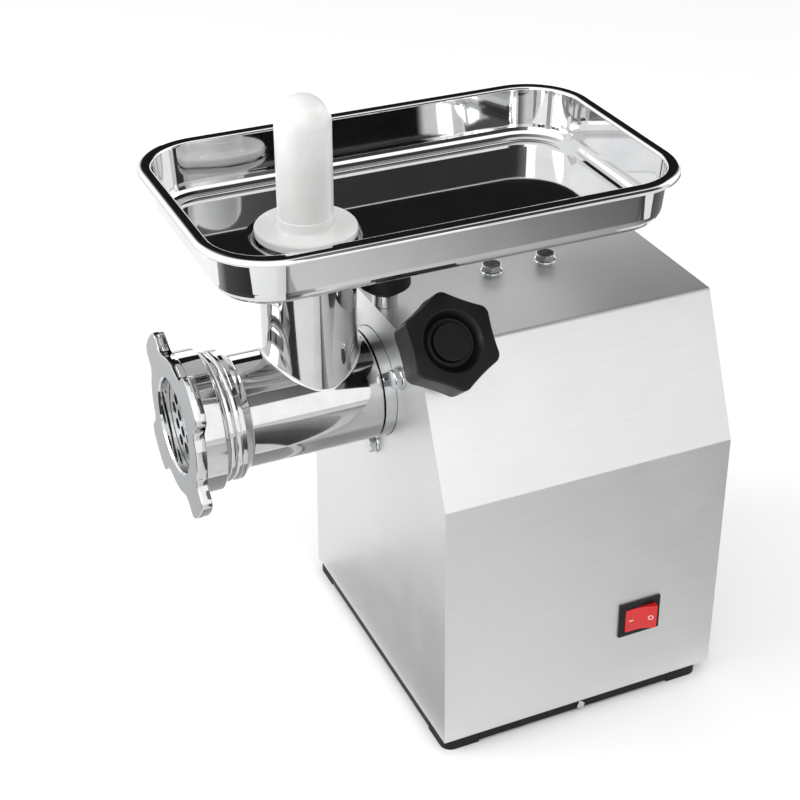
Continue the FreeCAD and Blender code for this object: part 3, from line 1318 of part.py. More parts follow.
def rounded_loop(half, y0, y1, corner, z):
    """Closed loop at height z round a rectangle with round corners."""
    middle = (y0 + y1) / 2
    length = (y1 - y0) / 2
    edges = []
    nook = corner * (1 - math.sqrt(0.5))
    places = [(1, 1), (-1, 1), (-1, -1), (1, -1)]
    points = []
    for sx, sy in places:
        x, y = sx * half, middle + sy * length
        along = [V(x, y - sy * corner, z), V(x - sx * nook, y - sy * nook, z), V(x - sx * corner, y, z)]
        points.append(along if sx * sy > 0 else along[::-1])
    for k, (start, mid, end) in enumerate(points):
        edges.append(Part.Arc(start, mid, end).toShape())
        edges.append(Part.makeLine(end, points[(k + 1) % len(points)][0]))
    return Part.Wire(edges)


def rounded_block(inset, z0, z1):
    """Upright block inside the tray's outline by inset."""
    loop = rounded_loop(TRAY_HALF - inset, TRAY_FRONT + inset, TRAY_REAR - inset, TRAY_CORNER - inset, z0)
    return Part.Face(loop).extrude(V(0, 0, z1 - z0))


def tray_basin(inset, floor, top):
    """Basin-shaped block with drafted walls and a rounded foot, inside the rim by inset."""
    loops = []
    for extra, z in ((TRAY_DRAFT, floor), (0, top)):
        d = TRAY_RIM + inset + extra
        loops.append(rounded_loop(TRAY_HALF - d, TRAY_FRONT + d, TRAY_REAR - d, TRAY_CORNER - d, z))
    block = Part.makeLoft(loops, True, True)
    foot = edges_where(block, lambda p: abs(p.z - floor) < 1e-6)
    return block.makeFillet(TRAY_FLOOR_ROUND - inset, foot)


def tray():
    """Sheet tray with a flat rolled rim and a hole turned down into a collar over the neck."""
    rim_under = TRAY_TOP - TRAY_SHEET
    basin = tray_basin(0, TRAY_UNDER, TRAY_TOP)
    rim = rounded_block(0, rim_under - TRAY_ROLL, TRAY_TOP)
    rim = rim.cut(rounded_block(TRAY_SHEET, rim_under - TRAY_ROLL, rim_under))
    pan = fused(basin, rim).cut(tray_basin(TRAY_SHEET, TRAY_FLOOR, TRAY_TOP))
    pan = pan.cut(post(TRAY_FLARE_R, TRAY_UNDER, TRAY_FLOOR, 0, NECK_Y))
    return fused(pan, turned_z(collar_edges(), 0, NECK_Y))


def collar_edges():
    """Section of the tray's turned-down collar: floor edge, bend and straight foot."""
    inner, outer = COLLAR_BORE_R, COLLAR_BORE_R + TRAY_SHEET
    bend_foot = TRAY_FLOOR - TRAY_BEND
    small = TRAY_BEND - TRAY_SHEET
    diagonal = math.sqrt(0.5)
    above = (TRAY_FLARE_R - TRAY_BEND * diagonal, bend_foot + TRAY_BEND * diagonal)
    below = (TRAY_FLARE_R - small * diagonal, bend_foot + small * diagonal)
    return [
        arc((inner, bend_foot), above, (TRAY_FLARE_R, TRAY_FLOOR)),
        line((TRAY_FLARE_R, TRAY_FLOOR), (TRAY_FLARE_R, TRAY_UNDER)),
        arc((TRAY_FLARE_R, TRAY_UNDER), below, (outer, bend_foot)),
        *polyline([(outer, bend_foot), (outer, COLLAR_FOOT), (inner, COLLAR_FOOT), (inner, bend_foot)])]


def rest_stub():
    """Bright stub on the roof with a threaded tail."""
    tail = ROOF_UNDER - REST_NUT
    stub = post(REST_STUB_R, ROOF_Z, ROOF_Z + REST_STUB, 0, REST_Y)
    return fused(stub, post(REST_TAIL_R, tail, ROOF_Z, 0, REST_Y))


def rest_nut():
    """Nut under the roof on the stub's tail."""
    span = (ROOF_UNDER - REST_NUT, ROOF_UNDER)
    return hexagon_z(REST_NUT_FLATS, *span, 0, REST_Y).cut(post(REST_TAIL_R, *span, 0, REST_Y))


def rest_cap():
    """Black rubber post on the stub, flared at its foot, that carries the tray."""
    foot = ROOF_Z + REST_STUB
    top = TRAY_UNDER - SEAT_GAP
    return turned_z(polyline([
        (0, foot),
        (REST_FOOT_R, foot),
        (REST_WIDE_R, foot + REST_FLARE),
        (REST_TOP_R, top),
        (0, top),
        (0, foot)]), 0, REST_Y)


def pusher():
    """Shaft in the neck, flange on its rim, and a round-topped handle with a low collar at its foot."""
    shaft = NECK_BORE_R - PUSHER_SHAFT_GAP
    bottom = PUSHER_SEAT - PUSHER_SHAFT
    flange_top = PUSHER_SEAT + PUSHER_FLANGE
    dome = flange_top + PUSHER_HANDLE - PUSHER_HANDLE_R
    base = PUSHER_HANDLE_R + PUSHER_BASE_STEP
    diagonal = PUSHER_HANDLE_R * math.sqrt(0.5)
    edges = polyline([
        (0, bottom),
        (shaft - PUSHER_SHAFT_CHAMFER, bottom),
        (shaft, bottom + PUSHER_SHAFT_CHAMFER),
        (shaft, PUSHER_SEAT),
        (PUSHER_FLANGE_R, PUSHER_SEAT),
        (PUSHER_FLANGE_R, flange_top),
        (base, flange_top),
        (base, flange_top + PUSHER_BASE),
        (PUSHER_HANDLE_R, flange_top + PUSHER_BASE + PUSHER_BASE_STEP),
        (PUSHER_HANDLE_R, dome)])
    edges.append(arc((PUSHER_HANDLE_R, dome), (diagonal, dome + diagonal), (0, dome + PUSHER_HANDLE_R)))
    edges.append(line((0, dome + PUSHER_HANDLE_R), (0, bottom)))
    solid = turned_z(edges, 0, NECK_Y)
    rims = edges_where(solid, lambda p: abs(math.hypot(p.x, p.y - NECK_Y) - PUSHER_FLANGE_R) < 1e-4, 8)
    rims = [e for e in rims if e.BoundBox.ZLength < 1e-3]
    return solid.makeFillet(PUSHER_FLANGE_ROUND, rims)


PIECES = {
    "housing_shell": housing_shell,
    "front_panel": front_panel,
    "rear_panel": rear_panel,
    "rear_screws": rear_screws,
    "cable_gland": cable_gland,
    "chassis_plate": chassis_plate,
    "base_pan": base_pan,
    "pan_screws": pan_screws,
    "rubber_feet": rubber_feet,
    "foot_screws": foot_screws,
    "gearbox_case": gearbox_case,
    "gearbox_cover": gearbox_cover,
    "cover_screws": cover_screws,
    "front_bolts": front_bolts,
    "oil_seal": lambda: ring_y(SEAL_R, MAIN_SHAFT_R + RUNNING, SEAL_FRONT, MAIN_FRONT),
    "main_bearing": lambda: bearing(MAIN_SHAFT_R, MAIN_BEARING_R, MAIN_FRONT, MAIN_BACK, BARREL_Z),
    "tail_bearings": tail_bearings,
    "output_shaft": output_shaft,
    "output_gear": output_gear,
    "countershaft": countershaft,
    "counter_gear": counter_gear,
    "motor_front_bell": lambda: motor_bell(COVER_BACK, 1),
    "motor_rear_bell": lambda: motor_bell(MOTOR_BACK, -1),
    "tie_bolts": tie_bolts,
    "stator_core": lambda: ring_y(STATOR_R, STATOR_BORE_R, STACK_FRONT, STACK_BACK, MOTOR_Z),
    "windings": windings,
    "motor_bearings": motor_bearings,
    "motor_shaft": motor_shaft,
    "rotor_core": lambda: ring_y(STATOR_BORE_R - AIR_GAP, ROTOR_SEAT_R, STACK_FRONT, STACK_BACK, MOTOR_Z),
    "cooling_fan": cooling_fan,
    "motor_cradle": motor_cradle,
    "cradle_bolts": cradle_bolts,
    "capacitor": capacitor,
    "capacitor_clip": capacitor_clip,
    "stay_bracket": stay_bracket,
    "stay_screws": stay_screws,
    "roof_bolts": roof_bolts,
    "switch_body": switch_body,
    "switch_rocker": switch_rocker,
    "clamp_stud": clamp_stud,
    "clamp_knob": clamp_knob,
    "grinding_head": grinding_head,
    "plate_key": plate_key,
    "cutting_plate": cutting_plate,
    "ring_nut": ring_nut,
    "cross_knife": cross_knife,
    "auger": auger,
    "thrust_washer": lambda: ring_y(WASHER_R, JOURNAL_R, WASHER_FRONT, BORE_REAR - SEAT_GAP / 2),
    "tray": tray,
    "rest_stub": rest_stub,
    "rest_nut": rest_nut,
    "rest_cap": rest_cap,
    "pusher": pusher,
}


def main():
    """Makes every piece, moves it to the origin and writes it."""
    os.makedirs("parts", exist_ok=True)
    for name, make in PIECES.items():
        made = make()
        shape = Part.makeCompound(made) if isinstance(made, list) else made
        shape.translate(V(0, -ORIGIN_Y, 0))
        shape.exportStep(f"parts/{name}.step")
        print(f"{name}: {len(shape.Solids)} solids, {shape.Volume / 1000:.2f} cm3, valid {shape.isValid()}")


main()
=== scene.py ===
"""Looks of a countertop electric meat grinder, in metres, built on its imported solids.

The polished and moulded pieces that the eye rests on are worked out here as smooth surfaces in the place of their
solids. The sheet-metal housing and everything inside it keep their solids and get their finishes.
"""
import bmesh
import bpy
import json
import math
import numpy as np
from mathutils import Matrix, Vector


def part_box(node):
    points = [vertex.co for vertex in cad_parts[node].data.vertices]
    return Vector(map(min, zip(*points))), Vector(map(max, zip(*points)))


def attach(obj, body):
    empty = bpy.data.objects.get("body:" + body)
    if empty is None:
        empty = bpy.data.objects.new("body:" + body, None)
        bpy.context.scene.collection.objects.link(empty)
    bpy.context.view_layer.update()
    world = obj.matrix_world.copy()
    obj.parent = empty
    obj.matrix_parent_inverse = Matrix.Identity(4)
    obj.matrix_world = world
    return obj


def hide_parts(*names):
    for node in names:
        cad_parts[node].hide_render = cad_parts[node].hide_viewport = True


MM = 0.001
X, Y, Z = np.eye(3)

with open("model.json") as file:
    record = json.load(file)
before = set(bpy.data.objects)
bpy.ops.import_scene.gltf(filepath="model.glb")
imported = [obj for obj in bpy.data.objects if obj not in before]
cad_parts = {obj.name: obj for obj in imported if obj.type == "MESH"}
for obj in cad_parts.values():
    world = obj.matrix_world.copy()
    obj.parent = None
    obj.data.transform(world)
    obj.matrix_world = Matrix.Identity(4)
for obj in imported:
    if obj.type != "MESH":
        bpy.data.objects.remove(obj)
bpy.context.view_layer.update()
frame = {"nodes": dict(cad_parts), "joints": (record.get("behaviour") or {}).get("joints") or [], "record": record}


def corners(node):
    """Lowest and highest corner of a solid, as arrays."""
    low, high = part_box(node)
    return np.array(low), np.array(high)


# Places that the pieces share, read from the solids
NUT_LOW, NUT_HIGH = corners("ring_nut")
HEAD_LOW, HEAD_HIGH = corners("grinding_head")
TRAY_LOW, TRAY_HIGH = corners("tray")
PUSHER_LOW, PUSHER_HIGH = corners("pusher")
CAP_LOW, CAP_HIGH = corners("rest_cap")
STUB_LOW, STUB_HIGH = corners("rest_stub")
KNOB_LOW, KNOB_HIGH = corners("clamp_knob")
SHELL_LOW, SHELL_HIGH = corners("housing_shell")
BARREL = np.array([0.0, 0.0, (NUT_LOW[2] + NUT_HIGH[2]) / 2])
NECK = np.array([0.0, (PUSHER_LOW[1] + PUSHER_HIGH[1]) / 2, 0.0])
NECK_TOP = HEAD_HIGH[2]
FRONT = SHELL_LOW[1]
ROOF = SHELL_HIGH[2]
ROOF_HALF = 70.5 * MM
JOINTS = {joint["name"]: joint for joint in frame["joints"]}
CLAMP_AXIS = np.array(JOINTS["clamp_turn"]["axis"])
ROCKER_AXIS = np.array(JOINTS["rocker_tilt"]["axis"])
ROCKER_PIVOT = np.array(JOINTS["rocker_tilt"]["pos_m"])
ROCKER_TILT = math.radians(JOINTS["rocker_tilt"]["range_deg"][1] / 2)


# Surfaces

LONG_RUN = 2.0 * MM
RUN_END = 0.3 * MM
SAME_POINT = 1e-6
SLIVER = 1e-7


def rounded(corner_list, closed=False, steps=7):
    """Points of a line through (a, b, radius) corners. Each corner with a radius becomes the arc that touches both
    of its sides: its ends lie radius / tan(half angle) from the corner, and slerp between the two end directions
    fills it. A run longer than LONG_RUN gets a point near each end, so that it shades flat."""
    data = np.array(corner_list, float)
    points, radii = data[:, :2], data[:, 2]
    out = []
    count = len(points)
    for k in range(count):
        p = points[k]
        if radii[k] == 0 or (not closed and k in (0, count - 1)):
            out.append(p[None])
            continue
        u, w = points[k - 1] - p, points[(k + 1) % count] - p
        u, w = u / np.linalg.norm(u), w / np.linalg.norm(w)
        half = np.arccos(np.clip(u @ w, -1, 1)) / 2
        middle = p + (u + w) / np.linalg.norm(u + w) * radii[k] / np.sin(half)
        start = p + u * radii[k] / np.tan(half) - middle
        end = p + w * radii[k] / np.tan(half) - middle
        turn = np.pi - 2 * half
        t = np.linspace(0, 1, steps)[:, None]
        out.append(middle + (start * np.sin((1 - t) * turn) + end * np.sin(t * turn)) / np.sin(turn))
    line = np.vstack(out)
    run = np.roll(line, -1, 0) - line
    length = np.linalg.norm(run, axis=1)
    long = length > LONG_RUN
    if not closed:
        long[-1] = False
    step = run[long] / length[long, None] * RUN_END
    spot = np.flatnonzero(long) + 1
    extra = np.stack([line[long] + step, line[long] + run[long] - step], 1).reshape(-1, 2)
    return np.insert(line, np.repeat(spot, 2), extra, axis=0)


def turned(profile, origin, axis, side, columns=128):
    """Grid of a surface of revolution: origin + along * axis + radius * (cos a * side + sin a * third), for each
    (radius, along) point of the profile and each angle a."""
    radius, along = np.asarray(profile).T
    third = np.cross(axis, side)
    a = 2 * np.pi * np.arange(columns) / columns
    ring = np.cos(a)[:, None] * side + np.sin(a)[:, None] * third
    return origin + along[:, None, None] * axis + radius[:, None, None] * ring


def quads_between(index):
    """Quads between neighbouring rows and columns of a grid of vertex numbers."""
    return np.stack([index[:-1, :-1], index[1:, :-1], index[1:, 1:], index[:-1, 1:]], -1).reshape(-1, 4)


def skin(points, loop=False):
    """Vertices and quads of a grid that closes round its columns, and also round its rows if it is a loop."""
    rows, columns = points.shape[:2]
    index = np.arange(rows * columns).reshape(rows, columns)
    index = np.hstack([index, index[:, :1]])
    if loop:
        index = np.vstack([index, index[:1]])
    return points.reshape(-1, 3), quads_between(index)


def piece(name, skins, finishes, body, node_names=(), sharp=35, finish_of=None):
    """One object from several skins: doubles merged, faces turned outwards, edges above the sharp angle kept. Where
    there are several finishes, finish_of gives each face's number from the faces' centres and normals."""
    vertices, faces, shift = [], [], 0
    for points, quads in skins:
        vertices.append(points)
        faces.append(quads + shift)
        shift += len(points)
    mesh = bpy.data.meshes.new(name)
    mesh.from_pydata(np.vstack(vertices).tolist(), [], np.vstack(faces).tolist())
    work = bmesh.new()
    work.from_mesh(mesh)
    bmesh.ops.remove_doubles(work, verts=work.verts, dist=SAME_POINT)
    bmesh.ops.dissolve_degenerate(work, edges=work.edges, dist=SLIVER)
    bmesh.ops.recalc_face_normals(work, faces=work.faces)
    work.to_mesh(mesh)
    work.free()
    mesh.shade_smooth()
    mesh.set_sharp_from_angle(angle=math.radians(sharp))
    made = bpy.data.objects.new(name, mesh)
    bpy.context.scene.collection.objects.link(made)
    for finish in finishes if isinstance(finishes, list) else [finishes]:
        mesh.materials.append(finish)
    if finish_of is not None:
        normals = np.zeros(len(mesh.polygons) * 3)
        centres = np.zeros(len(mesh.polygons) * 3)
        mesh.polygons.foreach_get("normal", normals)
        mesh.polygons.foreach_get("center", centres)
        chosen = finish_of(centres.reshape(-1, 3), normals.reshape(-1, 3))
        mesh.polygons.foreach_set("material_index", chosen.astype(np.int32))
    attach(made, body)
    if node_names:
        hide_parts(*node_names)
    return made


# Finishes

# Noise below and above these counts as wholly one and wholly the other end of what it drives.
NOISE_LOW, NOISE_HIGH = 0.3, 0.7
SLOW_DETAIL = 1.0
WIPE_SIZE = 40 * MM
WIPE_LEAST, WIPE_MOST = 0.96, 1.08
DRIFT_SIZE = 25 * MM


def linear(code):
    """Linear colour of an sRGB hex code."""
    srgb = np.array([int(code[k:k + 2], 16) for k in (1, 3, 5)]) / 255
    value = np.where(srgb <= 0.04045, srgb / 12.92, ((srgb + 0.055) / 1.055) ** 2.4)
    return (*value.tolist(), 1.0)


def add(tree, kind, inputs=None, **settings):
    """One node with its settings, its socket values and its links."""
    made = tree.nodes.new(kind)
    for name, value in settings.items():
        setattr(made, name, value)
    for socket, value in (inputs or {}).items():
        if isinstance(value, bpy.types.NodeSocket):
            tree.links.new(value, made.inputs[socket])
        else:
            made.inputs[socket].default_value = value
    return made


def blank(name):
    """New material and its empty node tree."""
    made = bpy.data.materials.new(name)
    made.use_nodes = True
    made.node_tree.nodes.clear()
    return made, made.node_tree


def close(tree, **sockets):
    """Principled shader with these values and links on its sockets, as the tree's surface."""
    named = {name.replace("_", " "): value for name, value in sockets.items()}
    shader = add(tree, "ShaderNodeBsdfPrincipled", named)
    add(tree, "ShaderNodeOutputMaterial", {"Surface": shader.outputs["BSDF"]})


def grain(tree, size, stretch=(1, 1, 1), detail=3.0):
    """Noise in object space whose grains measure size times stretch, in metres along X, Y and Z."""
    place = add(tree, "ShaderNodeTexCoord").outputs["Object"]
    scale = tuple(1 / (size * s) for s in stretch)
    place = add(tree, "ShaderNodeMapping", {"Vector": place, "Scale": scale}).outputs["Vector"]
    return add(tree, "ShaderNodeTexNoise", {"Vector": place, "Scale": 1.0, "Detail": detail}).outputs["Fac"]


def metal(name, dark, light, smooth, rough, size, stretch=(1, 1, 1), height=0.0):
    """Bare metal: from grain to grain the colour runs from dark to light and the roughness from smooth to rough. A
    height cuts the grains into the surface. A slow drift, like wiping marks, changes the gloss a little."""
    made, tree = blank(name)
    value = grain(tree, size, stretch)
    wiped = grain(tree, WIPE_SIZE, detail=SLOW_DETAIL)
    share = add(tree, "ShaderNodeMapRange", {"Value": value, "From Min": NOISE_LOW,
                                             "From Max": NOISE_HIGH}).outputs["Result"]
    colour = add(tree, "ShaderNodeMix", {"Factor": share, "A": linear(dark), "B": linear(light)}, data_type="RGBA")
    gloss = add(tree, "ShaderNodeMapRange", {"Value": share, "To Min": smooth, "To Max": rough}).outputs["Result"]
    wear = add(tree, "ShaderNodeMapRange", {"Value": wiped, "From Min": NOISE_LOW, "From Max": NOISE_HIGH,
                                            "To Min": WIPE_LEAST, "To Max": WIPE_MOST}).outputs["Result"]
    gloss = add(tree, "ShaderNodeMath", {0: gloss, 1: wear}, operation="MULTIPLY").outputs["Value"]
    sockets = {"Base_Color": colour.outputs["Result"], "Roughness": gloss, "Metallic": 1.0}
    if height:
        sockets["Normal"] = add(tree, "ShaderNodeBump", {"Height": value, "Distance": height}).outputs["Normal"]
    close(tree, **sockets)
    return made


def plastic(name, dark, light, smooth, rough, size, height, **sockets):
    """Moulded plastic, rubber or paint: a fine skin texture cut to a height, and a slow drift of the colour from dark
    to light and of the roughness from smooth to rough."""
    made, tree = blank(name)
    value = grain(tree, size)
    drift = grain(tree, DRIFT_SIZE, detail=SLOW_DETAIL)
    share = add(tree, "ShaderNodeMapRange", {"Value": drift, "From Min": NOISE_LOW,
                                             "From Max": NOISE_HIGH}).outputs["Result"]
    colour = add(tree, "ShaderNodeMix", {"Factor": share, "A": linear(dark), "B": linear(light)}, data_type="RGBA")
    gloss = add(tree, "ShaderNodeMapRange", {"Value": share, "To Min": smooth, "To Max": rough})
    skin_bump = add(tree, "ShaderNodeBump", {"Height": value, "Distance": height})
    close(tree, Base_Color=colour.outputs["Result"], Roughness=gloss.outputs["Result"],
          Normal=skin_bump.outputs["Normal"], **sockets)
    return made


# Stainless sheet brushed along the machine: a soft satin sheen with faint long lines. The grit lines are finer than
# the render can show, so they are drawn 0.35 mm wide.
BRUSHED_ALONG = metal("stainless_brushed_along", "#D2D3D2", "#DBDBDA", 0.39, 0.45, 0.35 * MM, (1, 120, 1), 0.002 * MM)
# The same sheet brushed across, on the two end panels.
BRUSHED_ACROSS = metal("stainless_brushed_across", "#D2D3D2", "#DBDBDA", 0.39, 0.45, 0.35 * MM, (120, 1, 1), 0.002 * MM)
# Deep-drawn stainless, mirror polished: clear dark and bright reflections.
MIRROR = metal("stainless_mirror_polished", "#D0D1D2", "#D8D8D8", 0.03, 0.045, 30 * MM)
# Cast head, ground and polished: a mirror that is slightly softer than the tray's.
POLISHED_CAST = metal("casting_polished", "#BEBFC0", "#C7C7C7", 0.045, 0.075, 12 * MM)
# Face of the ring nut, ground flat and left satin: an even light grey without reflections.
GROUND_CAST = metal("casting_ground_satin", "#999B9E", "#A5A7A9", 0.42, 0.52, 0.8 * MM, height=0.003 * MM)
# Zinc-plated bolts and screws: bright, with a slight bluish haze.
BRIGHT_ZINC = metal("steel_zinc_plated", "#BDBFC2", "#D0D2D4", 0.12, 0.18, 2 * MM)
# Hardened tool steel, surface ground: bright with fine parallel scratches, drawn 0.3 mm wide so that they show.
TOOL_STEEL = metal("tool_steel_ground", "#B4B6B8", "#C6C8C9", 0.16, 0.24, 0.3 * MM, (1, 40, 40), 0.002 * MM)
# Turned and hobbed steel under a film of oil: mid grey and half bright.
MACHINED = metal("steel_machined", "#7C7E80", "#96989A", 0.25, 0.4, 0.6 * MM)
# Die-cast aluminium as it leaves the mould: pale and slightly grainy.
CAST_ALUMINIUM = metal("aluminium_die_cast", "#A9ABAD", "#BFC0C1", 0.22, 0.34, 0.9 * MM, height=0.01 * MM)
# Gearbox casting with its socket turned bright: the same alloy, cut smooth.
TURNED_ALUMINIUM = metal("aluminium_turned", "#C2C4C6", "#CFD0D1", 0.08, 0.14, 6 * MM)
# Stacked electrical sheet, varnished: dark, lined every half millimetre along the motor.
LAMINATED = metal("steel_laminated_varnished", "#3A3B3D", "#5A5B5D", 0.4, 0.55, 0.5 * MM, (60, 1, 60), 0.02 * MM)
# Enamelled copper wire, wound: brown gloss with the lines of the turns.
COPPER = metal("copper_enamelled", "#7A3A1C", "#A9552A", 0.25, 0.4, 0.8 * MM, (20, 1, 20), 0.05 * MM)
# Hot-dip galvanised sheet: patchy grey spangle about 9 mm across.
GALVANISED = metal("steel_galvanised", "#8F9294", "#B4B7B9", 0.35, 0.5, 9 * MM)
# Baked black enamel on the base pan: deep black with little shine over a fine orange peel.
BLACK_PAINT = plastic("enamel_black_baked", "#040404", "#080808", 0.42, 0.55, 0.5 * MM, 0.006 * MM,
                      Specular_IOR_Level=0.25)
# Moulded rubber: dull black. The mould's texture is finer than this, and is drawn 0.6 mm wide so that it shows.
BLACK_RUBBER = plastic("rubber_moulded_black", "#060606", "#0C0C0D", 0.6, 0.75, 0.6 * MM, 0.03 * MM,
                       Specular_IOR_Level=0.3)
# ABS from a finely etched mould: black with a broad grey sheen. The etching is drawn 0.45 mm wide so that it shows.
BLACK_PLASTIC = plastic("abs_moulded_black", "#060606", "#0B0B0C", 0.34, 0.42, 0.45 * MM, 0.012 * MM,
                        Specular_IOR_Level=0.3)
# Polycarbonate rocker, polished mould: glossy signal red.
RED_PLASTIC = plastic("polycarbonate_red", "#CC1418", "#DA2726", 0.22, 0.3, 2 * MM, 0.004 * MM, Coat_Weight=0.2)
# Turned and moulded polyethylene: milky white, soft semi-gloss.
WHITE_PLASTIC = plastic("polyethylene_white", "#E6E6E4", "#EDEDEC", 0.22, 0.28, 1.2 * MM, 0.006 * MM,
                        Subsurface_Weight=0.15, Subsurface_Radius=(0.004, 0.004, 0.004))
# Polypropylene case of the capacitor: plain grey.
GREY_PLASTIC = plastic("polypropylene_grey", "#8A8C8E", "#9A9C9E", 0.4, 0.5, 0.8 * MM, 0.01 * MM)
# Pad-printed ink on the rocker: matt and pale.
PALE_INK = plastic("ink_pad_printed", "#F2C9C4", "#F6D8D2", 0.4, 0.5, 1 * MM, 0.003 * MM)

BY_SLOT = {
    "brushed_stainless": BRUSHED_ALONG,
    "polished_stainless": MIRROR,
    "polished_cast": POLISHED_CAST,
    "bright_fasteners": BRIGHT_ZINC,
    "tool_steel": TOOL_STEEL,
    "machined_steel": MACHINED,
    "cast_aluminium": CAST_ALUMINIUM,
    "laminated_steel": LAMINATED,
    "enamelled_copper": COPPER,
    "galvanised_steel": GALVANISED,
    "black_painted_steel": BLACK_PAINT,
    "black_rubber": BLACK_RUBBER,
    "black_plastic": BLACK_PLASTIC,
    "red_plastic": RED_PLASTIC,
    "white_plastic": WHITE_PLASTIC,
    "grey_plastic": GREY_PLASTIC,
}
BY_NODE = {"front_panel": BRUSHED_ACROSS, "rear_panel": BRUSHED_ACROSS, "gearbox_case": TURNED_ALUMINIUM}


def dress_solids():
    """Gives every solid that still shows the finish of its slot, or its own."""
    for entry in frame["record"]["subparts"]:
        solid = frame["nodes"][entry["node"]]
        solid.data.materials.clear()
        solid.data.materials.append(BY_NODE.get(entry["node"], BY_SLOT[entry["material_slot"]]))


# Tray

TRAY_SHEET = 1.2 * MM
TRAY_CORNER = 46.5 * MM
TRAY_RIM = 8.0 * MM
TRAY_ROLL = 4.2 * MM
TRAY_RIM_ROUND = 4.0 * MM
TRAY_LIP_ROUND = 2.6 * MM
TRAY_DRAFT = 3.0 * MM
TRAY_FOOT_ROUND = 9.8 * MM
TRAY_FOOT_MARGIN = 2.0 * MM
TRAY_FLARE_R = 38.7 * MM
TRAY_FLARE_MARGIN = 3.0 * MM
TRAY_COLLAR_R = 30.5 * MM
TRAY_DEPTH = 36.0 * MM


def tray_loops(inset, height, corner_steps=24, side_steps=10):
    """Rounded rectangles inside the tray's outline by each inset, at each height: straight sides that move in and
    corner arcs that keep their middles and lose the inset from their radius."""
    half = TRAY_HIGH[0]
    middle = (TRAY_LOW[1] + TRAY_HIGH[1]) / 2
    reach = TRAY_HIGH[1] - middle
    flat_x, flat_y = half - TRAY_CORNER, reach - TRAY_CORNER
    t = np.linspace(0, np.pi / 2, corner_steps)
    arcs = []
    for quarter, (sx, sy) in enumerate(((1, 1), (-1, 1), (-1, -1), (1, -1))):
        angle = t + quarter * np.pi / 2
        core = np.tile([sx * flat_x, sy * flat_y], (corner_steps, 1))
        arcs.append(np.hstack([core, np.cos(angle)[:, None], np.sin(angle)[:, None]]))
    ring = []
    for k, arc_rows in enumerate(arcs):
        ring.append(arc_rows)
        s = np.linspace(0, 1, side_steps + 2)[1:-1, None]
        ring.append(arc_rows[-1] + (arcs[(k + 1) % 4][0] - arc_rows[-1]) * s)
    core, way = np.vstack(ring)[:, :2], np.vstack(ring)[:, 2:]
    radius = TRAY_CORNER - np.asarray(inset)
    flat = core + radius[:, None, None] * way
    flat[..., 1] += middle
    tall = np.broadcast_to(np.asarray(height)[:, None, None], (*flat.shape[:2], 1))
    return np.concatenate([flat, tall], -1)


def tray_rings(radius, height, like):
    """Circles about the neck, whose points lie in the directions of the loop's points."""
    way = like[:, :2] - NECK[:2]
    way = way / np.linalg.norm(way, axis=1, keepdims=True)
    flat = NECK[:2] + np.asarray(radius)[:, None, None] * way
    tall = np.broadcast_to(np.asarray(height)[:, None, None], (*flat.shape[:2], 1))
    return np.concatenate([flat, tall], -1)


def make_tray():
    """Sheet tray as one closed skin: rolled rim, drafted wall and floor from rounded rectangles, then the hole's
    turned-down collar from circles, and back along the under side."""
    top = TRAY_HIGH[2]
    floor = top - TRAY_DEPTH
    foot = TRAY_RIM + TRAY_SHEET + TRAY_DRAFT
    inner = foot + TRAY_FOOT_ROUND + TRAY_FOOT_MARGIN
    upper = rounded([
        (0, top - TRAY_ROLL, 0),
        (0, top, TRAY_RIM_ROUND),
        (TRAY_RIM + TRAY_SHEET, top, TRAY_LIP_ROUND),
        (foot, floor, TRAY_FOOT_ROUND),
        (inner, floor, 0)])
    s = TRAY_SHEET
    lower = rounded([
        (inner, floor - s, 0),
        (foot - s, floor - s, TRAY_FOOT_ROUND + s),
        (TRAY_RIM, top - s, TRAY_LIP_ROUND - s),
        (s, top - s, TRAY_RIM_ROUND - s),
        (s, top - TRAY_ROLL, 0)])
    bend = TRAY_FLARE_R - TRAY_COLLAR_R
    outer = TRAY_FLARE_R + TRAY_FLARE_MARGIN
    collar = rounded([
        (outer, floor, 0),
        (TRAY_COLLAR_R, floor, bend),
        (TRAY_COLLAR_R, TRAY_LOW[2], 0),
        (TRAY_COLLAR_R + s, TRAY_LOW[2], 0),
        (TRAY_COLLAR_R + s, floor - s, bend - s),
        (outer, floor - s, 0)], steps=12)
    above = tray_loops(*upper.T)
    below = tray_loops(*lower.T)
    rings = tray_rings(*collar.T, above[-1])
    piece("meat_tray", [skin(np.concatenate([above, rings, below]), True)], MIRROR, "tray", ["tray"],
          sharp=50)


# Head, nut and neck

TUBE_R = 38.3 * MM
TUBE_REAR = FRONT - 8.3 * MM
TUBE_FRONT = TUBE_REAR - 92.7 * MM
COLLAR_R = 44.0 * MM
COLLAR_TAPER = 6.4 * MM
SHANK_R = 27.5 * MM
BORE_R = 32.5 * MM
JOURNAL_R = 15.05 * MM
PLATE_SEAT_R = 35.15 * MM
PLATE_SEAT = 4.3 * MM
REAR_WALL = 6.0 * MM
NECK_R = 31.7 * MM
NECK_BORE_R = 27.0 * MM
NECK_BORE_TOP = 80.0 * MM
NECK_FILLET = 3.0 * MM
NECK_SINK = 0.4 * MM
NECK_SHOULDER = 4.0 * MM
SPIGOT_R = 30.2 * MM
SPIGOT = 12.5 * MM
THREAD_PITCH = 5.0 * MM
THREAD_DEPTH = 1.2 * MM
THREAD_CREST = 0.6
THREAD_START = 0.8 * MM
THREAD_STOP = 3.0 * MM
BARREL_SHARP = 32


